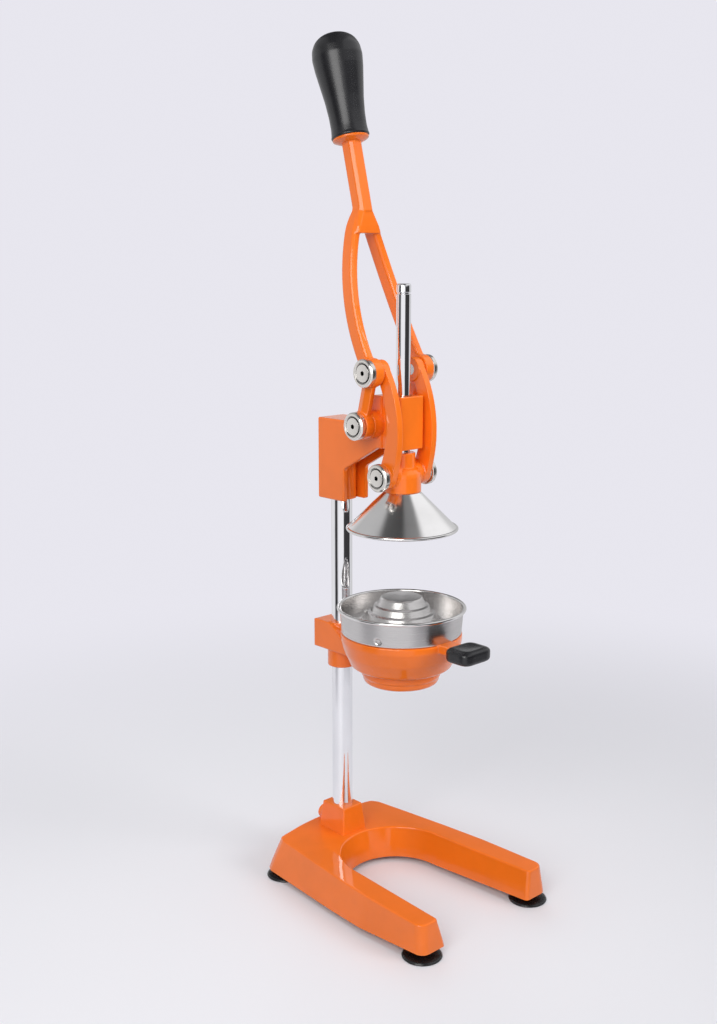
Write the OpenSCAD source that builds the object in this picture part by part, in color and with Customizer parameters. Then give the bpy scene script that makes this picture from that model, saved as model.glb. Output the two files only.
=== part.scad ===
// Lever citrus juice press: a U-shaped base with suction feet, a chrome column, a head that
// carries a forked lever with two bowed links, and a cone that presses fruit on a stepped reamer.
//
// Millimetres. The origin lies on the table under the middle of the object.
// +X is the right side seen from the front, -Y is the front and +Z is up.
// The lever rests on its back stop. Pulled forward, it drives the rod, hub and cone down.
// Inside the modules, lengths along Y are measured from the column's axis, + to the back.

/* [View] */
// Sub-part to draw

/* [Base casting] */
// Reach from the column's axis to the leg tips, on the top face
base_front = 190; // [170:1:210]
// Reach from the column's axis to the back edge, on the top face
base_back = 33; // [28:1:45]
// Half of the width at the rear corners, on the top face
base_half_rear = 65.8; // [62:0.1:75]
// Half of the width at the swell of the legs, on the top face
base_half_flank = 81; // [78:1:82]
// Half of the width over the leg tips, on the top face
base_half_front = 83; // [78:0.1:84]
// Height of the top face over the table
base_top = 34.4; // [28:0.2:45]
// Height of the casting's lower edge over the table
base_bottom = 4.4; // [4:0.1:8]
// Half of the width at the rear corners, on the lower edge
base_low_rear = 77.5; // [74:0.5:82]
// Half of the width at the swell of the legs, on the lower edge
base_low_flank = 87; // [81:0.5:90]
// Half of the width over the leg tips, on the lower edge
base_low_front = 84.2; // [82.5:0.1:90]
// Outward spread of the front and back walls from the top face to the lower edge
base_draft = 4.5; // [2:0.5:7]
// Inward spread of the bay's wall from the top face to the lower edge
bay_draft = 6; // [2:0.5:8]
// Distance from the column's axis to the centre of the bay's round end
bay_reach = 78; // [72:1:90]
// Radius of the bay's round end, on the top face
bay_radius = 54; // [45:1:57]
// Half of the bay's width between the leg tips, on the top face
bay_half_front = 61; // [55:0.5:66]

/* [Column socket] */
// Height of the socket's top over the table
socket_top = 60.4; // [50:0.2:75]
// Half of the socket's width at its top
socket_half_top = 12.3; // [11.5:0.1:15]
// Half of the socket's width at its foot
socket_half_foot = 15.6; // [15:0.1:20]
// Half of the socket's depth at its top
socket_depth_top = 15.6; // [12:0.1:18]
// Half of the socket's depth at its foot
socket_depth_foot = 18; // [15:0.1:22]

/* [Feet] */
// Radius of a suction foot
foot_radius = 18; // [14:0.5:20]
// Distance of the front feet from the middle plane
foot_front_x = 71.5; // [68:0.5:76]
// Distance of the front feet in front of the column's axis
foot_front_y = 180.6; // [165:0.2:185]
// Distance of the rear feet from the middle plane
foot_rear_x = 65; // [60:0.5:71]
// Distance of the rear feet behind the column's axis
foot_rear_y = 12; // [-4:0.5:13]
// Radius of a foot's threaded stud
stud_radius = 2.5; // [2:0.25:3]

/* [Column] */
// Diameter of the column
column_d = 20; // [16:0.5:21]
// Height of the column's end inside the head
column_top = 440; // [436:1:441]

/* [Head casting] */
// Distance from the column's axis to the press axis
press_reach = 81.2; // [78:0.2:84]
// Half of the width of the head's cheeks
head_half = 16; // [15.5:0.1:16.5]
// Height of the head's lower edge
head_bottom = 370.5; // [360:0.5:380]
// Height of the head's top face over the column
head_top = 447; // [444:0.5:452]
// Depth of the head behind the column's axis
head_back = 15.5; // [14.5:0.1:18]
// Half of the width of the channel between the cheeks
channel_half = 11.5; // [10.5:0.1:12.5]
// Radius of the clamp boss round the column
clamp_radius = 14; // [12.5:0.1:15]
// Half of the width of the guide block round the rod
guide_half = 14.5; // [12:0.1:15]
// Height of the guide block's lower face
guide_bottom = 426; // [425:0.5:430]
// Height of the guide block's top face
guide_top = 473.6; // [468:0.2:480]

/* [Fulcrum and pins] */
// Distance from the column's axis forward to the fulcrum
fulcrum_reach = 60.3; // [58:0.1:62]
// Height of the fulcrum
fulcrum_z = 447.5; // [446:0.1:449]
// Distance from the column's axis forward to the top pins, lever at rest
top_pin_reach = 72.4; // [71:0.1:74]
// Height of the top pins, lever at rest
top_pin_z = 495.1; // [493:0.1:497]
// Height of the lower pins, lever at rest
low_pin_z = 402.7; // [401:0.1:404]
// Radius of the fulcrum's axle
axle_radius = 6; // [5:0.1:6.5]
// Radius of the link pins
pin_radius = 5; // [4:0.1:5.5]
// Radius of a chrome cap
cap_radius = 12.5; // [11.5:0.1:12.8]
// Thickness of a chrome cap
cap_thick = 5.7; // [4.5:0.1:6.5]

/* [Lever] */
// Distance from the middle plane to the inner face of a lever eye
lever_inner = 26.3; // [26.2:0.1:27.5]
// Thickness of a lever eye
eye_thick = 9.7; // [8:0.1:11]
// Radius of the lever eyes
eye_radius = 12.8; // [11:0.1:13.5]
// Width of the fork arms seen from the side
arm_width = 11.5; // [11:0.5:16]
// Thickness of the fork arms seen from the front
arm_thick = 6.5; // [6:0.5:9]
// Radius of the fork arms' bend seen from the side
arm_side_radius = 300; // [200:10:600]
// Radius of the fork arms' bend seen from the front
arm_front_radius = 380; // [250:10:800]
// Lean of the lever shaft behind the vertical, in degrees
shaft_lean = 14; // [10:0.1:16]
// Width of the lever shaft across its flats
shaft_width = 16; // [13:0.5:19]
// Radius of the collar under the grip
collar_radius = 16.4; // [13:0.1:18]

/* [Lever grip] */
// Length of the grip
grip_length = 92.6; // [85:0.2:110]
// Radius of the grip's swollen end
grip_bulb = 22.6; // [19:0.1:27]
// Radius of the grip's waist
grip_waist = 16.3; // [14:0.1:18]

/* [Links] */
// Distance from the middle plane to the inner face of a link eye
link_inner = 17.3; // [17.3:0.1:17.6]
// Thickness of a link eye
link_eye_thick = 8.4; // [7.5:0.1:8.6]
// Thickness of a link's bowed plate
link_thick = 6.4; // [5:0.1:7.5]
// Radius of the link eyes
link_eye_radius = 11; // [10:0.1:12]
// Radius of the arc through both eyes that the link's front edge follows
link_bow_radius = 98; // [92:1:130]
// Radius of the link's back edge
link_back_radius = 90; // [80:1:130]

/* [Rod, hub and cone] */
// Radius of the press rod
rod_radius = 6.45; // [5.5:0.05:7]
// Height of the rod's tip, lever at rest
rod_top = 571.3; // [555:0.1:580]
// Radius of the hub's body
hub_radius = 17; // [16.5:0.1:17]
// Radius of the hub's neck
hub_neck = 11.5; // [10:0.1:13]
// Height of the hub's top, lever at rest
hub_top = 423; // [420:0.5:424]
// Height of the joint between the hub and the cone, lever at rest
hub_bottom = 387.4; // [386:0.2:389]
// Radius of the cone at its rim
cone_rim = 51; // [46:0.5:52]
// Radius of the cone at its top
cone_neck = 16.5; // [15:0.1:17]
// Height of the cone
cone_height = 35.2; // [30:0.2:38]
// Thickness of the pressed sheet steel
sheet = 1.2; // [1:0.1:1.5]

/* [Cup and reamer] */
// Height of the cup's rim over the table
cup_rim_z = 280.6; // [279:0.2:284]
// Height of the cup's underside over the table
cup_floor_z = 255.8; // [254:0.2:257]
// Spread of the cup's wall at its top beyond the bowl's rim
cup_spread = 1; // [0:0.1:2]
// Inset of the cup's foot from the bowl's rim
cup_foot_inset = 0.6; // [0:0.1:1.5]
// Radius of the rolled bead on the rim
cup_bead = 1.6; // [1.2:0.1:2]
// Number of drain holes in each ring
drain_count = 14; // [8:1:20]
// Height of the reamer's flat top over the table
reamer_top = 289.8; // [286:0.2:292]

/* [Holder] */
// Outer radius of the holder's bowl at its rim
bowl_radius = 56; // [55:0.1:58]
// Height of the spout collar's lower edge
spout_z = 209; // [204:0.5:211]
// Radius of the juice outlet
outlet_radius = 26; // [15:0.5:27]
// Half of the width of the arm between the column and the bowl
holder_half = 17; // [15.5:0.5:19]
// Depth of the holder behind the column's axis
holder_back = 21.7; // [19:0.1:25]

/* [Holder grip] */
// Half of the width of the black tab grip
tab_half = 17; // [13:0.1:18]
// Distance from the column's axis to the tab grip's front
tab_front = 177; // [172:1:184]
// Length of the tab grip
tab_length = 26; // [20:1:30]
// Thickness of the tab grip
tab_thick = 12.6; // [11:0.2:16]

/* [Fits] */
// Radial clearance of a turning or sliding fit
running_gap = 0.05; // [0.03:0.01:0.09]
// Radial clearance of a fixed fit
fixed_gap = 0.02; // [0.01:0.01:0.03]
// Gap between parts that move past each other
side_gap = 0.3; // [0.3:0.05:0.5]

/* [Hidden] */
$fn = 64;
hull_fn = 32;
eps = 0.01;
over = 1;
left = -1;
right = 1;

enamel = [0.94, 0.38, 0.07];
chrome = [0.84, 0.84, 0.86];
steel = [0.72, 0.72, 0.72];
black = [0.07, 0.07, 0.08];

// The front feet and the base's back edge set the frame: the middle between them is the origin.
column_y = ((foot_front_y + foot_radius) - (base_back + base_draft)) / 2;
column_r = column_d / 2;
column_bottom = 13;

foot_neck = 6;
foot_hollow = 1.6;
stud_top = base_bottom + 9;

lever_outer = lever_inner + eye_thick;
axle_end = lever_outer + side_gap;
head_boss_half = lever_inner - side_gap;
link_outer = link_inner + link_eye_thick;
washer_thick = 1.6;
link_cap_x = link_outer + washer_thick;
crank_reach = top_pin_reach - fulcrum_reach;
crank_rise = top_pin_z - fulcrum_z;
crank_lean = atan2(crank_reach, crank_rise);

// The fork arms follow one arc seen from the side and one seen from the front.
yoke_y = -28.6;
yoke_z = 614;
yoke_foot = 15.4;
yoke_head = 7.2;
yoke_depth = 14;
arm_low = [-top_pin_reach, top_pin_z];
arm_high = [yoke_y, yoke_z];
arm_inset = 0.25;
arm_low_side = [lever_outer - arm_thick / 2 - arm_inset, top_pin_z + 5];
arm_high_side = [yoke_foot - arm_thick / 2, yoke_z];
arm_steps = 12;

shaft_root_y = -27.5;
shaft_root_z = 640;
collar_thick = 4.4;
collar_edge = 1.8;
grip_start = 59.4;
tang_radius = 7;
tang_length = 70;

screw_radius = 3;
bush_wall = 2;
hub_cap_gap = 0.1;
rod_bottom = low_pin_z + pin_radius + 1.3;

cone_top = hub_bottom;
cone_rim_z = cone_top - cone_height;
cone_screw_radius = 4;

tab_z = 253.4;
stub_half = 9;
stub_thick = 8;

// ---------- Places and small shapes ----------

// From the column's axis to the part's frame.
module at_column() {
    translate([0, column_y, 0]) children();
}

// On the press axis, where the rod, the cone and the cup are centred.
module at_press() {
    at_column() translate([0, -press_reach, 0]) children();
}

// On the middle plane at a distance in front of the column's axis and a height.
module at_pin(reach, z) {
    at_column() translate([0, -reach, z]) children();
}

// Drawn for the right side, mirrored for the left one.
module on_side(side) {
    if (side == left) mirror([1, 0, 0]) children();
    else children();
}

// Cylinder along X between two distances from the middle plane.
module x_cylinder(radius, from, to) {
    translate([from, 0, 0]) rotate([0, 90, 0]) cylinder(r = radius, h = to - from);
}

// Cylinder along Y, from a front place to a back place.
module y_cylinder(radius, from, to) {
    translate([0, from, 0]) rotate([-90, 0, 0]) cylinder(r = radius, h = to - from);
}

// Plate seen from the side: an outline of [y, z] points, between two places on X.
module side_plate(outline, from, to) {
    translate([from, 0, 0]) rotate([90, 0, 90]) linear_extrude(to - from) polygon(outline);
}

// Plate seen from the front: an outline of [x, z] points, between two places on Y.
module front_plate(outline, from, to) {
    translate([0, to, 0]) rotate([90, 0, 0]) linear_extrude(to - from) polygon(outline);
}

// Points on an arc, from one angle to another.
function arc_points(centre, radius, from, to, steps) =
    [for (i = [0 : steps])
        let (angle = from + (to - from) * i / steps)
        centre + radius * [cos(angle), sin(angle)]];

// Points along the arc of a given radius from a to b, turning left, and grown outward.
function arc_through(a, b, radius, grow) =
    let (half = (b - a) / 2)
    let (to_centre = sqrt(radius * radius - half * half) / norm(half))
    let (centre = a + half + to_centre * [-half.y, half.x])
    let (start = atan2(a.y - centre.y, a.x - centre.x))
    arc_points(centre, radius + grow, start, start + 2 * asin(norm(half) / radius), arm_steps);

// Band of a given width along that arc.
function arc_band(a, b, radius, width) = concat(
    arc_through(a, b, radius, width / 2), reversed(arc_through(a, b, radius, -width / 2)));

// Rectangle about the origin with bevelled corners.
function bevelled(half_u, half_v, bevel) = [
    [bevel - half_u, -half_v], [half_u - bevel, -half_v], [half_u, bevel - half_v],
    [half_u, half_v - bevel], [half_u - bevel, half_v], [bevel - half_u, half_v],
    [-half_u, half_v - bevel], [-half_u, bevel - half_v]
];

// Outline in reverse order.
function reversed(points) = [for (i = [len(points) - 1 : -1 : 0]) points[i]];

// ---------- Base, feet and column ----------

// Outer outline of the base, seen from above. Its front and back grow by the draft.
module base_outline(half_rear, half_flank, half_front, grow) {
    rear_arc = 173;
    corner = 3;
    corner_reach = 20;
    tip_corner = 9;
    flank_reach = 126;
    hull() {
        polygon(concat(
            arc_points([0, base_back + grow - rear_arc], rear_arc, 74, 106, 8),
            [[-corner, 0], [corner, 0]]
        ));
        for (side = [left, right]) {
            translate([side * (half_rear - corner), corner_reach])
                circle(r = corner, $fn = hull_fn);
            translate([side * (half_flank - tip_corner), -flank_reach])
                circle(r = tip_corner, $fn = hull_fn);
            translate([side * (half_front - tip_corner), tip_corner - base_front - grow])
                circle(r = tip_corner, $fn = hull_fn);
        }
    }
}

// Bay between the legs, seen from above and narrowed by the draft.
module bay_outline(narrow) {
    hull() {
        translate([0, -bay_reach]) circle(r = bay_radius - narrow);
        translate([narrow - bay_half_front, -base_front - 2 * base_draft])
            square([2 * (bay_half_front - narrow), over]);
    }
}

// Solid with drafted walls between the outline at the lower edge and the one at the top.
module drafted(bottom, top) {
    hull() {
        translate([0, 0, bottom]) linear_extrude(eps) children(0);
        translate([0, 0, top - eps]) linear_extrude(eps) children(1);
    }
}

module column_socket() {
    foot = base_top - over;
    intersection() {
        front_plate([[-socket_half_foot, foot], [socket_half_foot, foot],
            [socket_half_top, socket_top], [-socket_half_top, socket_top]],
            -socket_depth_foot, socket_depth_foot);
        side_plate([[-socket_depth_foot, foot], [socket_depth_foot, foot],
            [socket_depth_top, socket_top], [-socket_depth_top, socket_top]],
            -socket_half_foot, socket_half_foot);
    }
}

base_screw_z = 40.8;
base_boss_radius = 7;
base_boss_end = 29.5;

module base_casting() {
    rise = bay_draft * over / (base_top - base_bottom);
    color(enamel) at_column() difference() {
        union() {
            difference() {
                drafted(base_bottom, base_top) {
                    base_outline(base_low_rear, base_low_flank, base_low_front, base_draft);
                    base_outline(base_half_rear, base_half_flank, base_half_front, 0);
                }
                drafted(base_bottom - over, base_top + over) {
                    bay_outline(bay_draft + rise);
                    bay_outline(-rise);
                }
            }
            column_socket();
            translate([0, 0, base_screw_z]) y_cylinder(base_boss_radius, column_r + 2, base_boss_end);
        }
        translate([0, 0, column_bottom]) cylinder(r = column_r + fixed_gap, h = socket_top);
        translate([0, 0, base_screw_z])
            y_cylinder(screw_radius + fixed_gap, 0, base_boss_end + over);
        for (side = [left, right]) {
            translate([side * foot_front_x, -foot_front_y, 0])
                cylinder(r = stud_radius + fixed_gap, h = stud_top);
            translate([side * foot_rear_x, foot_rear_y, 0])
                cylinder(r = stud_radius + fixed_gap, h = stud_top);
        }
    }
}

// Socket screw against the column, drawn along +Y from the column's surface.
module clamp_screw(end, z) {
    color(steel) at_column() translate([0, 0, z]) difference() {
        y_cylinder(screw_radius, column_r, end);
        translate([0, end - 2, 0]) rotate([-90, 0, 0]) cylinder(r = 1.6, h = 2 + over, $fn = 6);
    }
}

module column() {
    bevel = 1;
    color(chrome) at_column() rotate_extrude() polygon([
        [0, column_bottom], [column_r - bevel, column_bottom],
        [column_r, column_bottom + bevel], [column_r, column_top - bevel],
        [column_r - bevel, column_top], [0, column_top]
    ]);
}

// Suction foot: a flat cup of rubber with a neck under the casting.
module foot(side, x, y) {
    ring = 3;
    lip = 1;
    shoulder = 2.5;
    color(black) at_column() translate([side * x, y, 0]) rotate_extrude() polygon([
        [foot_radius - ring, 0], [foot_radius - 0.6, 0], [foot_radius, lip],
        [foot_radius - 1.4, shoulder], [foot_neck + 3, base_bottom - 1], [foot_neck, base_bottom],
        [stud_radius + fixed_gap, base_bottom], [stud_radius + fixed_gap, foot_hollow],
        [foot_neck + 2, foot_hollow]
    ]);
}

module stud(side, x, y) {
    color(steel) at_column() translate([side * x, y, foot_hollow])
        cylinder(r = stud_radius, h = stud_top - foot_hollow);
}

// ---------- Head ----------

head_screw_low_z = 390;
head_screw_high_z = 428;
cheek_front = 20.3;
gusset_low_z = 401.5;
gusset_reach = 64;
guide_rear = 62;
guide_front = 93;

module head_casting() {
    rise_start = 38;
    rise_end = 58;
    channel_roof = 432;
    color(enamel) at_column() difference() {
        union() {
            difference() {
                side_plate([
                    [head_back, head_bottom], [head_back, head_top], [-rise_start, head_top],
                    [-rise_end, guide_top], [-guide_rear - 4, guide_top],
                    [-guide_rear - 4, guide_bottom], [-gusset_reach, guide_bottom],
                    [-cheek_front, gusset_low_z], [-cheek_front, head_bottom]
                ], -head_half, head_half);
                side_plate([
                    [-clamp_radius / 2, head_bottom - over], [-clamp_radius / 2, channel_roof],
                    [-guide_rear, channel_roof], [-guide_rear - 4 - eps, guide_bottom - over],
                    [-guide_rear, guide_bottom - 20], [-cheek_front - over, head_bottom - over]
                ], -channel_half, channel_half);
            }
            translate([0, 0, head_bottom]) cylinder(r = clamp_radius, h = channel_roof - head_bottom);
            translate([-guide_half, -guide_front, guide_bottom])
                cube([2 * guide_half, guide_front - guide_rear, guide_top - guide_bottom]);
            translate([0, -fulcrum_reach, fulcrum_z])
                x_cylinder(eye_radius, -head_boss_half, head_boss_half);
        }
        translate([0, 0, head_bottom - over])
            cylinder(r = column_r + fixed_gap, h = column_top + over - head_bottom);
        translate([0, -press_reach, guide_bottom - over])
            cylinder(r = rod_radius + running_gap + bush_wall + fixed_gap,
                h = guide_top - guide_bottom + 2 * over);
        translate([0, -fulcrum_reach, fulcrum_z])
            x_cylinder(axle_radius + fixed_gap, -head_boss_half - over, head_boss_half + over);
        for (z = [head_screw_low_z, head_screw_high_z])
            translate([0, 0, z]) y_cylinder(screw_radius + fixed_gap, 0, head_back + over);
    }
}

module guide_bush() {
    inner = rod_radius + running_gap;
    recess = 0.8;
    color(steel) at_press() translate([0, 0, guide_bottom + recess]) difference() {
        cylinder(r = inner + bush_wall, h = guide_top - guide_bottom - 2 * recess);
        translate([0, 0, -over]) cylinder(r = inner, h = guide_top - guide_bottom + over);
    }
}

module fulcrum_axle() {
    color(steel) at_pin(fulcrum_reach, fulcrum_z) x_cylinder(axle_radius, -axle_end, axle_end);
}

// Chrome cap on a pin: a bevelled disc with a ring groove and a hexagon socket.
module cap(side, start, reach, z) {
    bevel = 1.4;
    groove_depth = 1;
    groove = cap_radius * 0.72;
    socket = 2.3;
    color(chrome) at_pin(reach, z) on_side(side) translate([start, 0, 0])
        rotate([0, 90, 0]) difference() {
            rotate_extrude() polygon([
                [0, 0], [cap_radius - 0.6, 0], [cap_radius, 0.6],
                [cap_radius, cap_thick - bevel], [cap_radius - bevel, cap_thick],
                [groove + 0.5, cap_thick], [groove + 0.5, cap_thick - groove_depth],
                [groove - 0.5, cap_thick - groove_depth], [groove - 0.5, cap_thick], [0, cap_thick]
            ]);
            translate([0, 0, cap_thick - 3]) cylinder(r = socket, h = 3 + over, $fn = 6);
        }
}

// ---------- Lever ----------

// One fork arm: where its side view and its front view cross.
module fork_arm() {
    intersection() {
        side_plate(arc_band(arm_low, arm_high, arm_side_radius, arm_width), 0, lever_outer);
        front_plate(arc_band(arm_low_side, arm_high_side, arm_front_radius, arm_thick),
            -top_pin_reach - arm_width, yoke_y + arm_width);
    }
}

module lever_shaft() {
    chamfer = 3.5;
    root = 8;
    half = shaft_width / 2;
    translate([0, shaft_root_y, shaft_root_z]) rotate([-shaft_lean, 0, 0]) {
        translate([0, 0, -root]) linear_extrude(grip_start - collar_thick + root + over)
            polygon(bevelled(half, half, chamfer));
        translate([0, 0, grip_start - collar_thick])
            cylinder(r1 = half + 3, r2 = collar_radius, h = collar_thick - collar_edge);
        translate([0, 0, grip_start - collar_edge]) cylinder(r = collar_radius, h = collar_edge);
        translate([0, 0, grip_start - over]) cylinder(r = tang_radius, h = tang_length + over);
    }
}

module lever_fork() {
    web_inset = 0.7;
    color(enamel) at_column() difference() {
        union() {
            for (side = [left, right]) on_side(side) {
                fork_arm();
                translate([lever_inner, -fulcrum_reach, fulcrum_z]) {
                    x_cylinder(eye_radius, 0, eye_thick);
                    rotate([crank_lean, 0, 0]) translate([web_inset, -arm_width / 2, 0])
                        cube([eye_thick - 2 * web_inset, arm_width, norm([crank_reach, crank_rise])]);
                }
                translate([lever_inner, -top_pin_reach, top_pin_z])
                    x_cylinder(eye_radius, 0, eye_thick);
            }
            front_plate([[-yoke_foot, yoke_z - 3], [yoke_foot, yoke_z - 3],
                [yoke_head, shaft_root_z], [-yoke_head, shaft_root_z]],
                yoke_y - yoke_depth / 2, yoke_y + yoke_depth / 2);
            lever_shaft();
        }
        translate([0, -fulcrum_reach, fulcrum_z])
            x_cylinder(axle_radius + running_gap, -lever_outer - over, lever_outer + over);
        translate([0, -top_pin_reach, top_pin_z])
            x_cylinder(pin_radius + fixed_gap, -lever_outer - over, lever_outer + over);
    }
}

module lever_grip() {
    lip = grip_waist + 0.9;
    color(black) at_column() translate([0, shaft_root_y, shaft_root_z])
        rotate([-shaft_lean, 0, 0]) translate([0, 0, grip_start]) difference() {
            rotate_extrude() polygon([
                [0, 0], [lip, 0], [lip, 1.5], [grip_waist, 5], [grip_waist, 16],
                [grip_waist + 1.1, 30], [grip_waist + 3, 45], [grip_bulb - 1.4, grip_length - 34],
                [grip_bulb, grip_length - 23], [grip_bulb - 0.5, grip_length - 16],
                [grip_bulb - 3.1, grip_length - 9], [grip_bulb - 8.1, grip_length - 4],
                [grip_bulb - 15, grip_length - 1], [0, grip_length]
            ]);
            translate([0, 0, -over]) cylinder(r = tang_radius + fixed_gap, h = tang_length + 2 * over);
        }
}

module top_pin(side) {
    color(steel) at_pin(top_pin_reach, top_pin_z) on_side(side)
        x_cylinder(pin_radius, link_inner, lever_outer);
}

// ---------- Links ----------

// Bowed plate: the front edge wraps both eyes, the back edge is an arc that bulges forward too.
module link_plate() {
    top_back = 1.5;
    low_back = 8;
    arc_inset = 0.15;
    edge = link_inner + (link_eye_thick - link_thick) / 2;
    front = arc_through([-top_pin_reach, top_pin_z], [-press_reach, low_pin_z],
        link_bow_radius, link_eye_radius - arc_inset);
    back = arc_through([top_back - top_pin_reach, top_pin_z], [low_back - press_reach, low_pin_z],
        link_back_radius, 0);
    side_plate(concat(front, reversed(back)), edge, edge + link_thick);
}

module link(side) {
    color(enamel) at_column() on_side(side) difference() {
        union() {
            link_plate();
            translate([0, -top_pin_reach, top_pin_z])
                x_cylinder(link_eye_radius, link_inner, link_outer);
            translate([0, -press_reach, low_pin_z])
                x_cylinder(link_eye_radius, link_inner, link_outer);
        }
        translate([0, -top_pin_reach, top_pin_z])
            x_cylinder(pin_radius + running_gap, link_inner - over, link_outer + over);
        translate([0, -press_reach, low_pin_z])
            x_cylinder(pin_radius + fixed_gap, link_inner - over, link_outer + over);
    }
}

module link_washer(side) {
    color(steel) at_pin(press_reach, low_pin_z) on_side(side) difference() {
        x_cylinder(cap_radius - 2.5, link_outer, link_cap_x);
        x_cylinder(pin_radius + fixed_gap, link_outer - over, link_cap_x + over);
    }
}

// Stub pin of the link, which ends short of the hub's face.
module link_pin(side) {
    color(steel) at_pin(press_reach, low_pin_z) on_side(side)
        x_cylinder(pin_radius, link_inner + side_gap, link_cap_x);
}

// ---------- Rod, hub and cone ----------

module press_hub() {
    color(enamel) at_press() difference() {
        union() {
            rotate_extrude() polygon([
                [0, hub_bottom], [hub_radius, hub_bottom], [hub_radius, low_pin_z - 1],
                [hub_radius - 0.8, low_pin_z + 2.4], [hub_radius - 3, low_pin_z + 5.4],
                [hub_neck, low_pin_z + 7], [hub_neck, hub_top], [0, hub_top]
            ]);
            translate([0, 0, low_pin_z]) x_cylinder(link_eye_radius, -hub_radius, hub_radius);
        }
        translate([0, 0, rod_bottom]) cylinder(r = rod_radius + fixed_gap, h = hub_top);
        translate([0, 0, low_pin_z])
            x_cylinder(pin_radius + fixed_gap, -hub_radius - over, hub_radius + over);
        translate([0, 0, hub_bottom - over])
            cylinder(r = cone_screw_radius + fixed_gap, h = low_pin_z - pin_radius - hub_bottom);
    }
}

module hub_pin() {
    half = hub_radius - hub_cap_gap;
    color(steel) at_pin(press_reach, low_pin_z) x_cylinder(pin_radius, -half, half);
}

module press_rod() {
    bevel = 1.2;
    groove_z = rod_top - 9;
    groove = 0.8;
    color(chrome) at_press() rotate_extrude() polygon([
        [0, rod_bottom], [rod_radius, rod_bottom],
        [rod_radius, groove_z], [rod_radius - groove, groove_z],
        [rod_radius - groove, groove_z + 1.6], [rod_radius, groove_z + 1.6],
        [rod_radius, rod_top - bevel], [rod_radius - bevel, rod_top], [0, rod_top]
    ]);
}

module press_cone() {
    lip = 1.5;
    color(steel) at_press() difference() {
        union() {
            rotate_extrude() polygon([
                [0, cone_top], [cone_neck - 0.7, cone_top], [cone_neck, cone_top - 0.7],
                [cone_rim - 2 * lip, cone_rim_z + 2 * lip], [cone_rim - lip, cone_rim_z + lip],
                [cone_rim - lip - sheet, cone_rim_z + lip],
                [cone_rim - 2 * lip - sheet, cone_rim_z + 2 * lip],
                [cone_neck - sheet, cone_top - 0.9 - sheet], [cone_neck - 2.2, cone_top - sheet],
                [0, cone_top - sheet]
            ]);
            translate([0, 0, cone_rim_z + lip]) rotate_extrude()
                translate([cone_rim - lip, 0]) circle(r = lip);
        }
        translate([0, 0, cone_top - sheet - over])
            cylinder(r = cone_screw_radius + fixed_gap, h = sheet + 2 * over);
    }
}

module cone_screw() {
    head_h = 4;
    head_r = 7;
    shank_top = low_pin_z - pin_radius - 1.2;
    color(steel) at_press() difference() {
        union() {
            translate([0, 0, cone_top - sheet - head_h]) cylinder(r = head_r, h = head_h);
            translate([0, 0, cone_top - sheet - over])
                cylinder(r = cone_screw_radius, h = shank_top - cone_top + sheet + over);
        }
        translate([0, 0, cone_top - sheet - head_h - over])
            cylinder(r = 2.8, h = 2.5 + over, $fn = 6);
    }
}

// ---------- Cup and reamer ----------

cup_floor_top = cup_floor_z + sheet;

module strainer_cup() {
    rim_z = cup_rim_z - cup_bead;
    skirt_gap = 1.8;
    skirt = bowl_radius - bowl_wall - skirt_gap;
    skirt_h = 5;
    drain_hub = 33;
    drain_radius = 2;
    dimple_z = cup_floor_z + 6;
    dimple_turn = 67;
    dimple_radius = 3.4;
    dimple_depth = 2.4;
    color(steel) at_press() difference() {
        union() {
            rotate_extrude() polygon([
                [drain_hub, cup_floor_z], [skirt - sheet, cup_floor_z],
                [skirt - sheet, cup_floor_z - skirt_h], [skirt, cup_floor_z - skirt_h],
                [skirt, cup_floor_z], [cup_foot_radius - 1, cup_floor_z],
                [cup_foot_radius, cup_floor_z + 1], [cup_radius, rim_z],
                [cup_radius - sheet, rim_z], [cup_foot_radius - sheet, cup_floor_top],
                [drain_hub, cup_floor_top]
            ]);
            translate([0, 0, rim_z]) rotate_extrude()
                translate([cup_radius + cup_bead - 0.6, 0]) circle(r = cup_bead);
            for (turn = [0 : 120 : 240]) rotate(turn - 90 - dimple_turn)
                translate([cup_foot_radius - dimple_depth - sheet, 0, dimple_z]) rotate([0, 90, 0])
                    cylinder(r1 = dimple_radius, r2 = dimple_radius + sheet, h = dimple_depth + sheet / 2);
        }
        for (turn = [0 : 120 : 240]) rotate(turn - 90 - dimple_turn)
            translate([cup_foot_radius - dimple_depth, 0, dimple_z]) rotate([0, 90, 0])
                cylinder(r1 = dimple_radius - sheet, r2 = dimple_radius + sheet, h = dimple_depth + over);
        for (ring = [0 : 1], i = [0 : drain_count - 1])
            rotate((i + ring / 2) * 360 / drain_count)
                translate([skirt - sheet - 3.6 - 5.4 * ring, 0, cup_floor_z - over])
                    cylinder(r = drain_radius, h = sheet + 2 * over, $fn = 24);
    }
}

// Stepped dome: three conical bands with narrow ledges between them.
function reamer_outline(inset, drop) = [
    [0, reamer_top - drop], [18 - inset, reamer_top - 0.6 - drop],
    [19.4 - inset, reamer_top - 1.8 - drop], [23.9 - inset, reamer_top - 7.4 - drop],
    [25.2 - inset, reamer_top - 8.2 - drop], [29 - inset, reamer_top - 13.6 - drop],
    [30.6 - inset, reamer_top - 14.4 - drop], [34.6 - inset, reamer_top - 20.8 - drop],
    [36 - inset, reamer_top - 21.6 - drop], [38.6 - inset, cup_floor_top + sheet - drop]
];

module reamer() {
    flange = 40;
    color(steel) at_press() rotate_extrude() polygon(concat(
        reamer_outline(0, 0),
        [[flange, cup_floor_top + sheet], [flange, cup_floor_top]],
        reversed(reamer_outline(1, sheet))
    ));
}

// ---------- Holder ----------

holder_low = 222;
holder_high = 249.5;
holder_screw_z = 236;
bowl_wall = 5.5;
cup_radius = bowl_radius + cup_spread;
cup_foot_radius = bowl_radius - cup_foot_inset;

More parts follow.
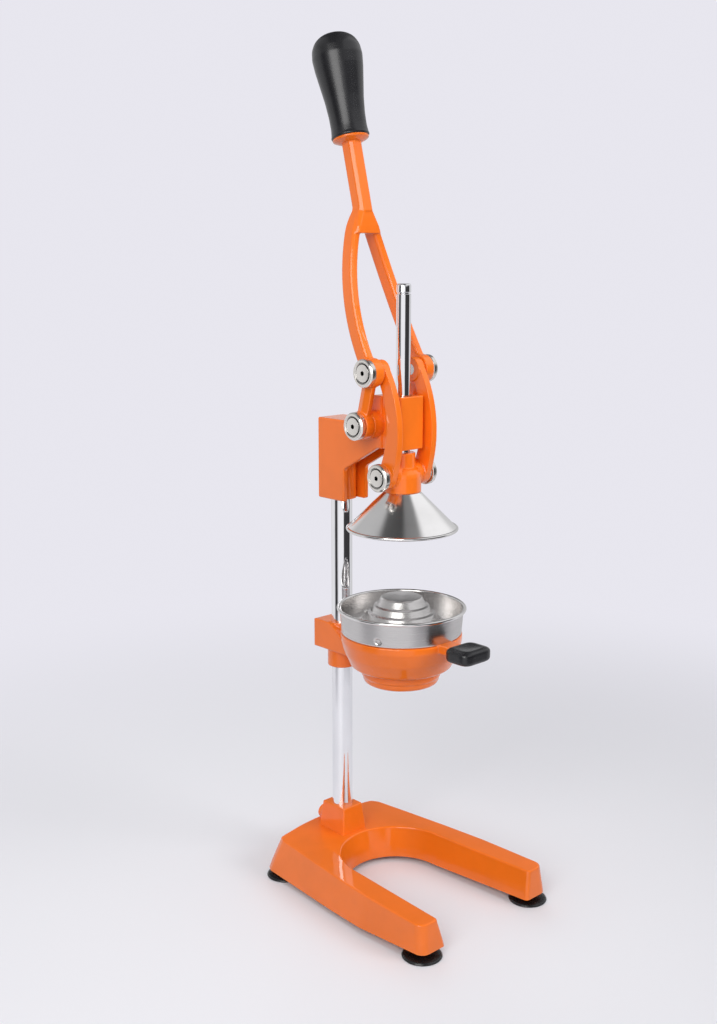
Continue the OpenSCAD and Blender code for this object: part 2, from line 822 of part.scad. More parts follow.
module holder_bowl() {
    rim_inner = bowl_radius - bowl_wall;
    translate([0, -press_reach, 0]) rotate_extrude() polygon([
        [outlet_radius, spout_z], [outlet_radius + 6.5, spout_z], [outlet_radius + 8.5, spout_z + 1],
        [outlet_radius + 11.5, spout_z + 4.5], [outlet_radius + 12.5, spout_z + 5.6],
        [outlet_radius + 16, spout_z + 7], [outlet_radius + 19.5, spout_z + 10.5],
        [bowl_radius - 3.5, cup_floor_z - 20], [bowl_radius, cup_floor_z - 6],
        [bowl_radius, cup_floor_z], [rim_inner, cup_floor_z], [rim_inner, cup_floor_z - 7],
        [rim_inner - 2.5, cup_floor_z - 20], [outlet_radius + 16, spout_z + 14],
        [outlet_radius, spout_z + 6]
    ]);
}

module holder_casting() {
    collar_low = 204.5;
    ramp_start = -2;
    ramp_end = bowl_radius - press_reach - 6;
    stub_back = press_reach + bowl_radius - 4;
    color(enamel) at_column() difference() {
        union() {
            difference() {
                side_plate([
                    [holder_back, holder_low], [holder_back, holder_high],
                    [ramp_start, holder_high], [ramp_end, holder_high - 12], [ramp_end, holder_low]
                ], -holder_half, holder_half);
                translate([0, -press_reach, holder_low - over])
                    cylinder(r = bowl_radius - 5, h = holder_high);
            }
            holder_bowl();
            translate([0, 0, collar_low]) cylinder(r = clamp_radius, h = holder_high - collar_low);
            translate([-stub_half, -tab_front + 6, tab_z - stub_thick / 2])
                cube([2 * stub_half, tab_front - 6 - stub_back, stub_thick]);
        }
        translate([0, 0, collar_low - over])
            cylinder(r = column_r + fixed_gap, h = holder_high - collar_low + 2 * over);
        translate([0, 0, holder_screw_z]) y_cylinder(screw_radius + fixed_gap, 0, holder_back + over);
        translate([0, -press_reach, cup_floor_z]) cylinder(r = cup_radius + 2, h = stub_thick);
    }
}

// Tab grip: a rounded block with a pocket for the casting's stub.
module holder_grip() {
    bevel = 3.5;
    pocket = fixed_gap;
    middle_y = -tab_front + tab_length / 2;
    color(black) at_column() difference() {
        translate([0, middle_y, tab_z]) intersection() {
            side_plate(bevelled(tab_length / 2, tab_thick / 2, bevel), -tab_half, tab_half);
            front_plate(bevelled(tab_half, tab_thick / 2, bevel), -tab_length / 2, tab_length / 2);
            translate([0, 0, -tab_thick / 2]) linear_extrude(tab_thick)
                polygon(bevelled(tab_half, tab_length / 2, bevel));
        }
        translate([-stub_half - pocket, -tab_front + 6 - pocket, tab_z - stub_thick / 2 - pocket])
            cube([2 * (stub_half + pocket), tab_length, stub_thick + 2 * pocket]);
    }
}

// ---------- Nodes ----------

base_casting();
clamp_screw(base_boss_end + 1.2, base_screw_z);  // base_screw
column();
foot(left, foot_front_x, -foot_front_y);  // foot_front_left
foot(right, foot_front_x, -foot_front_y);  // foot_front_right
foot(left, foot_rear_x, foot_rear_y);  // foot_rear_left
foot(right, foot_rear_x, foot_rear_y);  // foot_rear_right
stud(left, foot_front_x, -foot_front_y);  // stud_front_left
stud(right, foot_front_x, -foot_front_y);  // stud_front_right
stud(left, foot_rear_x, foot_rear_y);  // stud_rear_left
stud(right, foot_rear_x, foot_rear_y);  // stud_rear_right
head_casting();
clamp_screw(head_back + 1.2, head_screw_high_z);  // head_screw_upper
clamp_screw(head_back + 1.2, head_screw_low_z);  // head_screw_lower
guide_bush();
fulcrum_axle();
cap(left, axle_end, fulcrum_reach, fulcrum_z);  // fulcrum_cap_left
cap(right, axle_end, fulcrum_reach, fulcrum_z);  // fulcrum_cap_right
lever_fork();
lever_grip();
top_pin(left);  // top_pin_left
top_pin(right);  // top_pin_right
cap(left, lever_outer, top_pin_reach, top_pin_z);  // top_cap_left
cap(right, lever_outer, top_pin_reach, top_pin_z);  // top_cap_right
link(left);  // link_left
link(right);  // link_right
link_washer(left);  // link_washer_left
link_washer(right);  // link_washer_right
link_pin(left);  // link_pin_left
link_pin(right);  // link_pin_right
cap(left, link_cap_x, press_reach, low_pin_z);  // link_cap_left
cap(right, link_cap_x, press_reach, low_pin_z);  // link_cap_right
press_hub();
hub_pin();
press_rod();
press_cone();
cone_screw();
strainer_cup();
reamer();
holder_casting();
clamp_screw(holder_back + 2.5, holder_screw_z);  // holder_screw
holder_grip();
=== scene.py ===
"""Looks of the lever citrus juice press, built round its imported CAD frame.

Lengths in the classes are millimetres in the column frame: the column's axis is x = 0, y = 0,
the table is z = 0, -Y is the front. `metres` turns them into the row frame of the CAD model.
"""

import logging
import math
from dataclasses import dataclass
from enum import Enum

import bmesh
import bpy
from mathutils import Matrix, Vector


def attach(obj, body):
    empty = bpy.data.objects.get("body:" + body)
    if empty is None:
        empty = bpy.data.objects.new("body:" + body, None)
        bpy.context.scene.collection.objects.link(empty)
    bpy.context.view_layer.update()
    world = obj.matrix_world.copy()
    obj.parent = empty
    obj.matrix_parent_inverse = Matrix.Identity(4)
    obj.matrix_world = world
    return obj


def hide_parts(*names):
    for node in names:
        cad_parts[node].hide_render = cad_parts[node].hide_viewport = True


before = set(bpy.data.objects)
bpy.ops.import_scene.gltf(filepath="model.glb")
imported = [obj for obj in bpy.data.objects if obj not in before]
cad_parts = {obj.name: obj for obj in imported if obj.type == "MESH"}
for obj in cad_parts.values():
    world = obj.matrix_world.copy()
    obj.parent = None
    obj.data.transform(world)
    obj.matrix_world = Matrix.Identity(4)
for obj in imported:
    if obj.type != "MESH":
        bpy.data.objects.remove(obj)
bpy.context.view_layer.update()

LOG = logging.getLogger("scene")
# How far the column's axis lies behind the row frame's origin
COLUMN_Y = 80.55
# The row frame's origin and the press's axis as [x, y] in the column frame
ROW_ORIGIN = (0.0, -COLUMN_Y)
PRESS_AXIS = (0.0, -81.2)
# Pivots as [y, z] in the column frame
FULCRUM = (-60.3, 447.5)
TOP_PIN = (-72.4, 495.1)
LOW_PIN = (-81.2, 402.7)
# Radii of the bores, each with its clearance
COLUMN_BORE = 10.02
LOW_PIN_BORE = 5.02
TOP_PIN_BORE = 5.05
AXLE_BORE = 6.05

Point = tuple[float, float]
Place = tuple[float, float, float]
Constant = float | str | tuple[float, ...]


class Side(Enum):
    """Which side of the middle plane a piece sits on."""

    LEFT = -1
    RIGHT = 1


class Axis(Enum):
    """Axis that a plate is extruded along, with its index."""

    X = 0
    Y = 1
    Z = 2


# ---------- Mesh tools ----------


def metres(x: float, y: float, z: float) -> Vector:
    """Turns a place in the column frame into the row frame.

    Args:
        x: Millimetres to the right.
        y: Millimetres behind the column's axis.
        z: Millimetres over the table.

    Returns:
        The place in metres.
    """
    return Vector((x, y + COLUMN_Y, z)) / 1000.0


def linked(name: str, data: bpy.types.ID) -> bpy.types.Object:
    """Puts a new object in the scene.

    Args:
        name: Its name.
        data: Its mesh, light or camera.

    Returns:
        The object at the origin.
    """
    obj = bpy.data.objects.new(name, data)
    bpy.context.scene.collection.objects.link(obj)
    return obj


def new_object(name: str, bm: bmesh.types.BMesh) -> bpy.types.Object:
    """Makes a linked object from a bmesh, with its normals outward.

    Args:
        name: Name of the object and its mesh.
        bm: The bmesh, which is freed.

    Returns:
        The new object at the origin.
    """
    bmesh.ops.recalc_face_normals(bm, faces=bm.faces)
    mesh = bpy.data.meshes.new(name)
    bm.to_mesh(mesh)
    bm.free()
    return linked(name, mesh)


def applied(obj: bpy.types.Object) -> bpy.types.Object:
    """Turns an object's modifiers into plain mesh.

    Args:
        obj: The object, whose modifiers are removed.

    Returns:
        The same object.
    """
    graph = bpy.context.evaluated_depsgraph_get()
    graph.update()
    mesh = bpy.data.meshes.new_from_object(obj.evaluated_get(graph), depsgraph=graph)
    obj.modifiers.clear()
    old = obj.data
    obj.data = mesh
    mesh.name = obj.name
    bpy.data.meshes.remove(old)
    return obj


def smooth(obj: bpy.types.Object, angle: float = 40.0) -> bpy.types.Object:
    """Shades an object smooth, with sharp edges above an angle.

    Args:
        obj: The object.
        angle: Least angle of a sharp edge, in degrees.

    Returns:
        The same object.
    """
    obj.data.polygons.foreach_set("use_smooth", [True] * len(obj.data.polygons))
    obj.data.set_sharp_from_angle(angle=math.radians(angle))
    return obj


def joined(name: str, parts: list[bpy.types.Object]) -> bpy.types.Object:
    """Joins objects at the origin into one and removes them.

    Args:
        name: Name of the result.
        parts: The objects.

    Returns:
        The joined object.
    """
    bm = bmesh.new()
    for part in parts:
        bm.from_mesh(part.data)
        discard(part)
    return new_object(name, bm)


def discard(obj: bpy.types.Object) -> None:
    """Removes an object and its mesh.

    Args:
        obj: The object.
    """
    mesh = obj.data
    bpy.data.objects.remove(obj)
    bpy.data.meshes.remove(mesh)


def mirrored(obj: bpy.types.Object, side: Side) -> bpy.types.Object:
    """Flips a piece drawn for the right side onto the left one.

    Args:
        obj: The piece.
        side: The side that it is for.

    Returns:
        The same piece.
    """
    if side is Side.LEFT:
        obj.data.transform(Matrix.Diagonal((-1, 1, 1, 1)))
        obj.data.flip_normals()
    return obj


def revolve(name: str, profile: list[Point], centre: Point, steps: int) -> bpy.types.Object:
    """Turns an open or closed profile of [radius, height] points round a vertical axis.

    Args:
        name: Name of the object.
        profile: Points in order. Points on the axis become one vertex.
        centre: The axis's x and y in the column frame.
        steps: Number of sectors.

    Returns:
        The turned object, with a UV map that runs round and along the profile.
    """
    bm = bmesh.new()
    uv = bm.loops.layers.uv.new("turned")
    lengths = [0.0]
    for a, b in zip(profile, profile[1:]):
        lengths.append(lengths[-1] + math.dist(a, b))
    rings = []
    for radius, z in profile:
        if radius < 1e-6:
            rings.append([bm.verts.new(metres(*centre, z))])
            continue
        rings.append([bm.verts.new(metres(*spot, z)) for spot in circle(centre, radius, steps)])
    for row, (low, high) in enumerate(zip(rings, rings[1:])):
        for i in range(steps):
            j = (i + 1) % steps
            corners = [(low[i % len(low)], i, row), (low[j % len(low)], i + 1, row),
                       (high[j % len(high)], i + 1, row + 1), (high[i % len(high)], i, row + 1)]
            seen, kept = set(), []
            for vert, turn, line in corners:
                if vert not in seen:
                    seen.add(vert)
                    kept.append((vert, turn, line))
            if len(kept) < 3:
                continue
            face = bm.faces.new([k[0] for k in kept])
            for loop, (_, turn, line) in zip(face.loops, kept):
                loop[uv].uv = (turn / steps, lengths[line] / 100.0)
    return smooth(new_object(name, bm))


def filleted(points: list[Point], radii: list[float], closed: bool = False,
             steps: int = 6) -> list[Point]:
    """Rounds the corners of a polyline.

    Args:
        points: The corners.
        radii: Radius at each corner, 0 for a sharp one.
        closed: Whether the last corner joins the first.
        steps: Points on each fillet.

    Returns:
        The rounded polyline.
    """
    out: list[Point] = []
    count = len(points)
    for i, (point, radius) in enumerate(zip(points, radii)):
        ends = not closed and i in (0, count - 1)
        if radius <= 0 or ends:
            out.append(point)
            continue
        here = Vector(point)
        back = Vector(points[i - 1]) - here
        ahead = Vector(points[(i + 1) % count]) - here
        half = back.angle(ahead) / 2
        if half > math.pi / 2 - 0.01:
            near = 0.2 * min(back.length, ahead.length)
            start, end = here + back.normalized() * near, here + ahead.normalized() * near
            out += [tuple(start.lerp(end, k / steps)) for k in range(steps + 1)]
            continue
        reach = min(radius / math.tan(half), 0.49 * back.length, 0.49 * ahead.length)
        size = reach * math.tan(half)
        start = here + back.normalized() * reach
        centre = here + (back.normalized() + ahead.normalized()).normalized() * (size / math.sin(half))
        a = start - centre
        end = here + ahead.normalized() * reach - centre
        turn = a.angle_signed(end)
        for k in range(steps + 1):
            spun = a.copy()
            spun.rotate(Matrix.Rotation(-turn * k / steps, 2))
            out.append(tuple(centre + spun))
    return out


def fill(bm: bmesh.types.BMesh, loops: list[list[bmesh.types.BMVert]]) -> None:
    """Fills closed loops with triangles.

    Args:
        bm: The bmesh.
        loops: The loops' vertices in order.
    """
    caps = [bm.faces.new(loop) for loop in loops]
    for cap in caps:
        cap.normal_update()
    bmesh.ops.triangulate(bm, faces=caps)


def plate(name: str, outline: list[Point], low: float, high: float, axis: Axis) -> bpy.types.Object:
    """Extrudes a closed outline along an axis.

    Args:
        name: Name of the object.
        outline: Corners on the two other axes, in their order x, y, z.
        low: Lower end along the axis.
        high: Upper end along the axis.
        axis: The axis.

    Returns:
        The closed plate.
    """
    bm = bmesh.new()
    loops = [[bm.verts.new(level_point(axis, p, level)) for p in outline] for level in (low, high)]
    fill(bm, [loops[0], loops[1][::-1]])
    count = len(outline)
    for i in range(count):
        j = (i + 1) % count
        bm.faces.new([loops[0][i], loops[1][i], loops[1][j], loops[0][j]])
    return new_object(name, bm)


def inset(points: list[Point], depth: float) -> list[Point]:
    """Pulls a closed outline in along its corners' normals.

    Args:
        points: The outline, with any corner sharper than the depth already rounded.
        depth: Distance from the old outline.

    Returns:
        The outline with as many points.
    """
    count = len(points)
    area = sum(a[0] * b[1] - b[0] * a[1] for a, b in zip(points, points[1:] + points[:1]))
    turn = 1.0 if area > 0 else -1.0
    out = []
    for i, point in enumerate(points):
        back = (Vector(point) - Vector(points[i - 1])).normalized()
        ahead = (Vector(points[(i + 1) % count]) - Vector(point)).normalized()
        normal = turn * Vector((-(back.y + ahead.y), back.x + ahead.x)).normalized()
        share = max(0.5, normal.dot(turn * Vector((-back.y, back.x))))
        out.append(tuple(Vector(point) + normal * depth / share))
    return out


def soft_plate(name: str, outline: list[Point], low: float, high: float, axis: Axis,
               edge: float, steps: int = 3) -> bpy.types.Object:
    """Extrudes a closed outline along an axis and rounds the edges of both faces.

    Args:
        name: Name of the object.
        outline: Corners on the two other axes, rounded by at least the edge's radius.
        low: Lower end along the axis.
        high: Upper end along the axis.
        axis: The axis.
        edge: Radius of the edges.
        steps: Number of facets across an edge.

    Returns:
        The closed plate.
    """
    rings = []
    for end, sign in ((low, 1.0), (high, -1.0)):
        rows = []
        for i in range(steps + 1):
            turn = math.pi / 2 * i / steps
            level = end + sign * edge * (1 - math.sin(turn))
            flat = inset(outline, edge * (1 - math.cos(turn)))
            rows.append([level_point(axis, p, level) for p in flat])
        rings += rows[::-1] if sign > 0 else rows
    return smooth(loft(name, rings), angle=50)


def level_point(axis: Axis, point: Point, level: float) -> Vector:
    """Place of an outline's point at a level of its axis.

    Args:
        axis: The axis.
        point: The point on the two other axes.
        level: The level along the axis.

    Returns:
        The place in metres.
    """
    place = list(point)
    place.insert(axis.value, level)
    return metres(*place)


def disc(name: str, centre: Point, radius: float, low: float, high: float, axis: Axis,
         steps: int = 64) -> bpy.types.Object:
    """Closed disc or rod along an axis.

    Args:
        name: Name of the object.
        centre: Its centre on the two other axes.
        radius: Its radius.
        low: Lower end along the axis.
        high: Upper end along the axis.
        axis: The axis.
        steps: Number of sides.

    Returns:
        The disc.
    """
    return plate(name, circle(centre, radius, steps), low, high, axis)


def circle(centre: Point, radius: float, steps: int) -> list[Point]:
    """Points round a circle.

    Args:
        centre: Its centre.
        radius: Its radius.
        steps: Number of points.

    Returns:
        The points.
    """
    turns = [math.tau * i / steps for i in range(steps)]
    return [(centre[0] + radius * math.cos(a), centre[1] + radius * math.sin(a)) for a in turns]


def arc(centre: Point, radius: float, start: float, end: float, steps: int) -> list[Point]:
    """Points on an arc.

    Args:
        centre: Its centre.
        radius: Its radius.
        start: First angle, in degrees.
        end: Last angle, in degrees.
        steps: Number of steps.

    Returns:
        The points.
    """
    angles = [math.radians(start + (end - start) * i / steps) for i in range(steps + 1)]
    return [(centre[0] + radius * math.cos(a), centre[1] + radius * math.sin(a)) for a in angles]


def arc_through(a: Point, b: Point, radius: float, grow: float, steps: int = 24) -> list[Point]:
    """Points along the arc of a radius from a to b that turns left, grown outward.

    Args:
        a: First point.
        b: Last point.
        radius: Radius of the arc through both.
        grow: Distance outward from that arc.
        steps: Number of steps.

    Returns:
        The points.
    """
    first, half = Vector(a), (Vector(b) - Vector(a)) / 2
    reach = math.sqrt(radius ** 2 - half.length_squared) / half.length
    centre = first + half + reach * Vector((-half.y, half.x))
    start = math.degrees(math.atan2(first.y - centre.y, first.x - centre.x))
    sweep = 2 * math.degrees(math.asin(half.length / radius))
    return arc(tuple(centre), radius + grow, start, start + sweep, steps)


def loft(name: str, rings: list[list[Vector]]) -> bpy.types.Object:
    """Skins closed rings of equal length and fills both ends.

    Args:
        name: Name of the object.
        rings: The rings, in metres, in order.

    Returns:
        The skinned object.
    """
    bm = bmesh.new()
    rows = [[bm.verts.new(v) for v in ring] for ring in rings]
    count = len(rows[0])
    for low, high in zip(rows, rows[1:]):
        for i in range(count):
            j = (i + 1) % count
            bm.faces.new([low[i], low[j], high[j], high[i]])
    fill(bm, [rows[0][::-1], rows[-1]])
    return new_object(name, bm)


def cut(obj: bpy.types.Object, tool: bpy.types.Object, union: bool = False) -> bpy.types.Object:
    """Cuts a tool out of an object, or adds it, and removes the tool.

    Args:
        obj: The object.
        tool: The closed tool.
        union: Whether to add it instead.

    Returns:
        The same object.
    """
    step = obj.modifiers.new("cut", "BOOLEAN")
    step.operation = "UNION" if union else "DIFFERENCE"
    step.solver = "EXACT"
    step.object = tool
    applied(obj)
    discard(tool)
    bm = bmesh.new()
    bm.from_mesh(obj.data)
    bmesh.ops.dissolve_degenerate(bm, dist=1e-7, edges=bm.edges[:])
    many = [f for f in bm.faces if len(f.verts) > 4]
    bmesh.ops.triangulate(bm, faces=many, quad_method="FIXED", ngon_method="EAR_CLIP")
    bm.to_mesh(obj.data)
    bm.free()
    return obj


def crisp(obj: bpy.types.Object, angle: float) -> bpy.types.Object:
    """Shades an object with flat broad faces and soft narrow ones.

    Args:
        obj: The object.
        angle: Least angle of a sharp edge, in degrees.

    Returns:
        The same object.
    """
    smooth(obj, angle)
    weigh = obj.modifiers.new("weigh", "WEIGHTED_NORMAL")
    weigh.keep_sharp = True
    return applied(obj)


def rounded_edges(obj: bpy.types.Object, width: float, angle: float, segments: int) -> bpy.types.Object:
    """Rounds an object's sharp edges.

    Args:
        obj: The object.
        width: Width of the rounding, in millimetres.
        angle: Least angle of a rounded edge, in degrees.
        segments: Number of facets across it.

    Returns:
        The same object.
    """
    step = obj.modifiers.new("edges", "BEVEL")
    step.width = width / 1000.0
    step.segments = segments
    step.limit_method = "ANGLE"
    step.angle_limit = math.radians(angle)
    step.use_clamp_overlap = True
    return crisp(obj, angle=60)


def cast(obj: bpy.types.Object, voxel: float, rounds: int) -> bpy.types.Object:
    """Melts overlapping closed shells into one casting with soft edges and fillets.

    Args:
        obj: The shells, in one object.
        voxel: Size of a cell, in millimetres.
        rounds: Rounds of smoothing.

    Returns:
        The same object.
    """
    melt = obj.modifiers.new("melt", "REMESH")
    melt.mode = "VOXEL"
    melt.voxel_size = voxel / 1000.0
    relax = obj.modifiers.new("relax", "SMOOTH")
    relax.factor = 0.5
    relax.iterations = rounds
    applied(obj)
    return smooth(obj, angle=80)


# ---------- Node tools ----------


class Wiring:
    """Adds nodes to a tree, sets their constants and links them."""

    def __init__(self, tree: bpy.types.NodeTree) -> None:
        """Takes the tree.

        Args:
            tree: The tree to work on.
        """
        self.nodes, self.links = tree.nodes, tree.links

    def preset(self, node: bpy.types.Node, values: dict[str | int, Constant]) -> bpy.types.Node:
        """Sets constants on a node.

        Args:
            node: The node.
            values: Constants by input socket.

        Returns:
            The same node.
        """
        for socket, value in values.items():
            node.inputs[socket].default_value = value
        return node

    def add(self, kind: str, values: dict[str | int, Constant] | None = None) -> bpy.types.Node:
        """Adds a node.

        Args:
            kind: Its Blender type.
            values: Constants by input socket.

        Returns:
            The node.
        """
        return self.preset(self.nodes.new(kind), values or {})

    def maths(self, operation: str, values: dict[str | int, Constant] | None = None) -> bpy.types.Node:
        """Adds a maths node.

        Args:
            operation: Its operation.
            values: Constants by input socket.

        Returns:
            The node.
        """
        node = self.add("ShaderNodeMath", values)
        node.operation = operation
        return node

    def blend(self, values: dict[str | int, Constant] | None = None) -> bpy.types.Node:
        """Adds a node that mixes two colours.

        Args:
            values: Constants by input socket.

        Returns:
            The node.
        """
        node = self.nodes.new("ShaderNodeMix")
        node.data_type = "RGBA"
        return self.preset(node, values or {})

    def link(self, *wires: tuple[bpy.types.Node, str, bpy.types.Node, str | int]) -> None:
        """Links outputs to inputs.

        Args:
            *wires: Source node, its output, target node and its input.
        """
        for source, leaving, target, entering in wires:
            self.links.new(source.outputs[leaving], target.inputs[entering])


class NodeTool:
    """Geometry node group with named inputs that ends in plain mesh of one material."""

    def __init__(self, name: str, sockets: dict[str, str]) -> None:
        """Starts the group with its inputs and adds its last nodes.

        Args:
            name: Name of the group.
            sockets: Socket type of each input after the geometry and the finish, by name.
        """
        self.group = bpy.data.node_groups.new(name, "GeometryNodeTree")
        face = self.group.interface
        for way in ("INPUT", "OUTPUT"):
            face.new_socket("Geometry", in_out=way, socket_type="NodeSocketGeometry")
        self.names = {
            label: face.new_socket(label, in_out="INPUT", socket_type=kind).identifier
            for label, kind in {"Finish": "NodeSocketMaterial", **sockets}.items()}
        self.tree = Wiring(self.group)
        self.entry = self.tree.add("NodeGroupInput")
        self.real = self.tree.add("GeometryNodeRealizeInstances")
        finish = self.tree.add("GeometryNodeSetMaterial")
        leave = self.tree.add("NodeGroupOutput")
        self.tree.link(
            (self.real, "Geometry", finish, "Geometry"), (self.entry, "Finish", finish, "Material"),
            (finish, "Geometry", leave, "Geometry"))

    def run(self, name: str, mesh: bpy.types.Mesh, angle: float,
            inputs: dict[str, Constant | bpy.types.ID]) -> bpy.types.Object:
        """Runs the group on a mesh and keeps the result as plain mesh.

        Args:
            name: Name of the result.
            mesh: The mesh that goes in.
            angle: Least angle of a sharp edge, in degrees.
            inputs: Value of each input by name.

        Returns:
            The result.
        """
        obj = linked(name, mesh)
        step = obj.modifiers.new("tool", "NODES")
        step.node_group = self.group
        for label, value in inputs.items():
            step[self.names[label]] = value
        return smooth(applied(obj), angle)


class CopiesOnPoints(NodeTool):
    """Node group that puts a copy of a prototype on each vertex, turned by a named attribute."""

    def __init__(self) -> None:
        """Builds the group once."""
        super().__init__("copies_on_points", {"Prototype": "NodeSocketObject"})
        tree = self.tree
        info = tree.add("GeometryNodeObjectInfo", {"As Instance": True})
        turn = tree.add("GeometryNodeInputNamedAttribute", {"Name": "turn"})
        turn.data_type = "FLOAT_VECTOR"
        points = tree.add("GeometryNodeMeshToPoints")
        spread = tree.add("GeometryNodeInstanceOnPoints")
        tree.link(
            (self.entry, "Geometry", points, "Mesh"), (self.entry, "Prototype", info, "Object"),
            (points, "Points", spread, "Points"), (info, "Geometry", spread, "Instance"),
            (turn, "Attribute", spread, "Rotation"), (spread, "Instances", self.real, "Geometry"))

    def spread(self, name: str, prototype: bpy.types.Object, places: list[Vector],
               turns: list[Place], finish: bpy.types.Material) -> bpy.types.Object:
        """Makes one plain mesh of copies.

        Args:
            name: Name of the result.
            prototype: The object to copy, drawn about the origin.
            places: Where the copies go, in metres.
            turns: Euler angles of each copy, in radians.
            finish: Material of the copies.

        Returns:
            The copies as one object.
        """
        mesh = bpy.data.meshes.new(name)
        mesh.from_pydata([tuple(p) for p in places], [], [])
        layer = mesh.attributes.new("turn", "FLOAT_VECTOR", "POINT")
        layer.data.foreach_set("vector", [v for turn in turns for v in turn])
        return self.run(name, mesh, 30, {"Prototype": prototype, "Finish": finish})


class RolledBead(NodeTool):
    """Node group that sweeps a round bead along a level circle."""

    def __init__(self) -> None:
        """Builds the group once."""
        super().__init__("rolled_bead", {
            "Radius": "NodeSocketFloat", "Bead": "NodeSocketFloat", "Centre": "NodeSocketVector"})
        tree = self.tree
        path = tree.add("GeometryNodeCurvePrimitiveCircle", {"Resolution": 128})
        section = tree.add("GeometryNodeCurvePrimitiveCircle", {"Resolution": 16})
        sweep = tree.add("GeometryNodeCurveToMesh")
        move = tree.add("GeometryNodeTransform")
        tree.link(
            (self.entry, "Radius", path, "Radius"), (self.entry, "Bead", section, "Radius"),
            (path, "Curve", sweep, "Curve"), (section, "Curve", sweep, "Profile Curve"),
            (sweep, "Mesh", move, "Geometry"), (self.entry, "Centre", move, "Translation"),
            (move, "Geometry", self.real, "Geometry"))

    def sweep(self, name: str, radius: float, bead: float, centre: Vector,
              finish: bpy.types.Material) -> bpy.types.Object:
        """Makes a bead as plain mesh.

        Args:
            name: Name of the result.
            radius: Radius of the circle, in millimetres.
            bead: Radius of the bead, in millimetres.
            centre: Centre of the circle, in metres.
            finish: Material of the bead.

        Returns:
            The bead.
        """
        return self.run(name, bpy.data.meshes.new(name), 80, {
            "Radius": radius / 1000.0, "Bead": bead / 1000.0, "Centre": tuple(centre),
            "Finish": finish})


# ---------- Finishes ----------


@dataclass(frozen=True)
class Finish:
    """Procedural material on the shader's own sockets, with noise in its colour, gloss and relief, and
    painted shade in a band and on cut faces where asked.
    """

    name: str
    colour: Place
    metallic: float = 0.0
    roughness: float = 0.3
    roughness_spread: float = 0.05
    mottle: float = 0.04
    mottle_scale: float = 40.0
    grain_scale: float = 300.0
    grain_depth: float = 0.00002
    stretch: Place = (1.0, 1.0, 1.0)
    specular: float = 0.5
    coat: float = 0.0
    coat_roughness: float = 0.05
    anisotropy: float = 0.0
    turned: bool = False
    # The next two fields place painted shade: a band of the turned UV profile, and the cut faces whose UV
    # lies below a level
    painted_shade_band: Point = (0.0, 0.0)
    shaded_cut_level: float = 0.004

    def material(self) -> bpy.types.Material:
        """Builds the node tree.

        Returns:
            The material.
        """
        mat = bpy.data.materials.new(self.name)
        mat.use_nodes = True
        tree = Wiring(mat.node_tree)
        shader = tree.preset(tree.nodes["Principled BSDF"], {
            "Metallic": self.metallic, "Specular IOR Level": self.specular,
            "Coat Weight": self.coat, "Coat Roughness": self.coat_roughness,
            "Anisotropic": self.anisotropy})
        source = tree.add("ShaderNodeTexCoord")
        spot = tree.add("ShaderNodeMapping", {"Scale": self.stretch})
        blotch = tree.add("ShaderNodeTexNoise", {"Scale": self.mottle_scale, "Detail": 3.0})
        ramp = tree.add("ShaderNodeValToRGB")
        for stop, gain in zip(ramp.color_ramp.elements, (1 - self.mottle, 1 + self.mottle)):
            stop.color = (*[min(1.0, c * gain) for c in self.colour], 1.0)
        ramp.color_ramp.elements[0].position = 0.3
        ramp.color_ramp.elements[1].position = 0.7
        grain = tree.add("ShaderNodeTexNoise", {"Scale": self.grain_scale, "Detail": 4.0})
        gloss = tree.add("ShaderNodeMapRange", {
            "To Min": max(0.0, self.roughness - self.roughness_spread),
            "To Max": self.roughness + self.roughness_spread})
        relief = tree.add("ShaderNodeBump", {"Distance": self.grain_depth})
        tree.link(
            (source, "UV" if self.turned else "Object", spot, "Vector"),
            (source, "Object", blotch, "Vector"), (blotch, "Fac", ramp, "Fac"),
            (spot, "Vector", grain, "Vector"), (grain, "Fac", gloss, "Value"),
            (gloss, "Result", shader, "Roughness"), (grain, "Fac", relief, "Height"),
            (relief, "Normal", shader, "Normal"))
        # Painted shade in the band and on the cut faces, where a band is given
        if self.painted_shade_band[1] > 0:
            tree.link((self.with_painted_shade(tree, source, ramp), "Result", shader, "Base Color"))
        else:
            tree.link((ramp, "Color", shader, "Base Color"))
        if self.coat > 0:
            tree.link((relief, "Normal", shader, "Coat Normal"))
        if self.turned:
            along = tree.add("ShaderNodeTangent")
            along.direction_type = "UV_MAP"
            along.uv_map = "turned"
            tree.link((along, "Tangent", shader, "Tangent"))
        return mat

    def with_painted_shade(self, tree: Wiring, source: bpy.types.Node, ramp: bpy.types.Node) -> bpy.types.Node:
        """Paints shade into the colour in a band of the turned profile and on the faces that a cutter left.

        Cutters have no UV map, so their faces lie below the cut level.

        Args:
            tree: The material's tree.
            source: The texture coordinates.
            ramp: The colour.

        Returns:
            The mix of both colours.
        """
        low, high = self.painted_shade_band
        across = tree.add("ShaderNodeSeparateXYZ")
        band = tree.maths("COMPARE", {1: (low + high) / 2, 2: (high - low) / 2})
        hole = tree.maths("LESS_THAN", {1: self.shaded_cut_level})
        either = tree.maths("MAXIMUM")
        # Near-black painted shade for a groove band and for cut socket faces
        shade = tree.blend({"B": (0.03, 0.03, 0.03, 1.0)})
        tree.link(
            (source, "UV", across, "Vector"), (across, "Y", band, 0), (across, "Y", hole, 0),
            (band, "Value", either, 0), (hole, "Value", either, 1),
            (either, "Value", shade, "Factor"), (ramp, "Color", shade, "A"))
        return shade


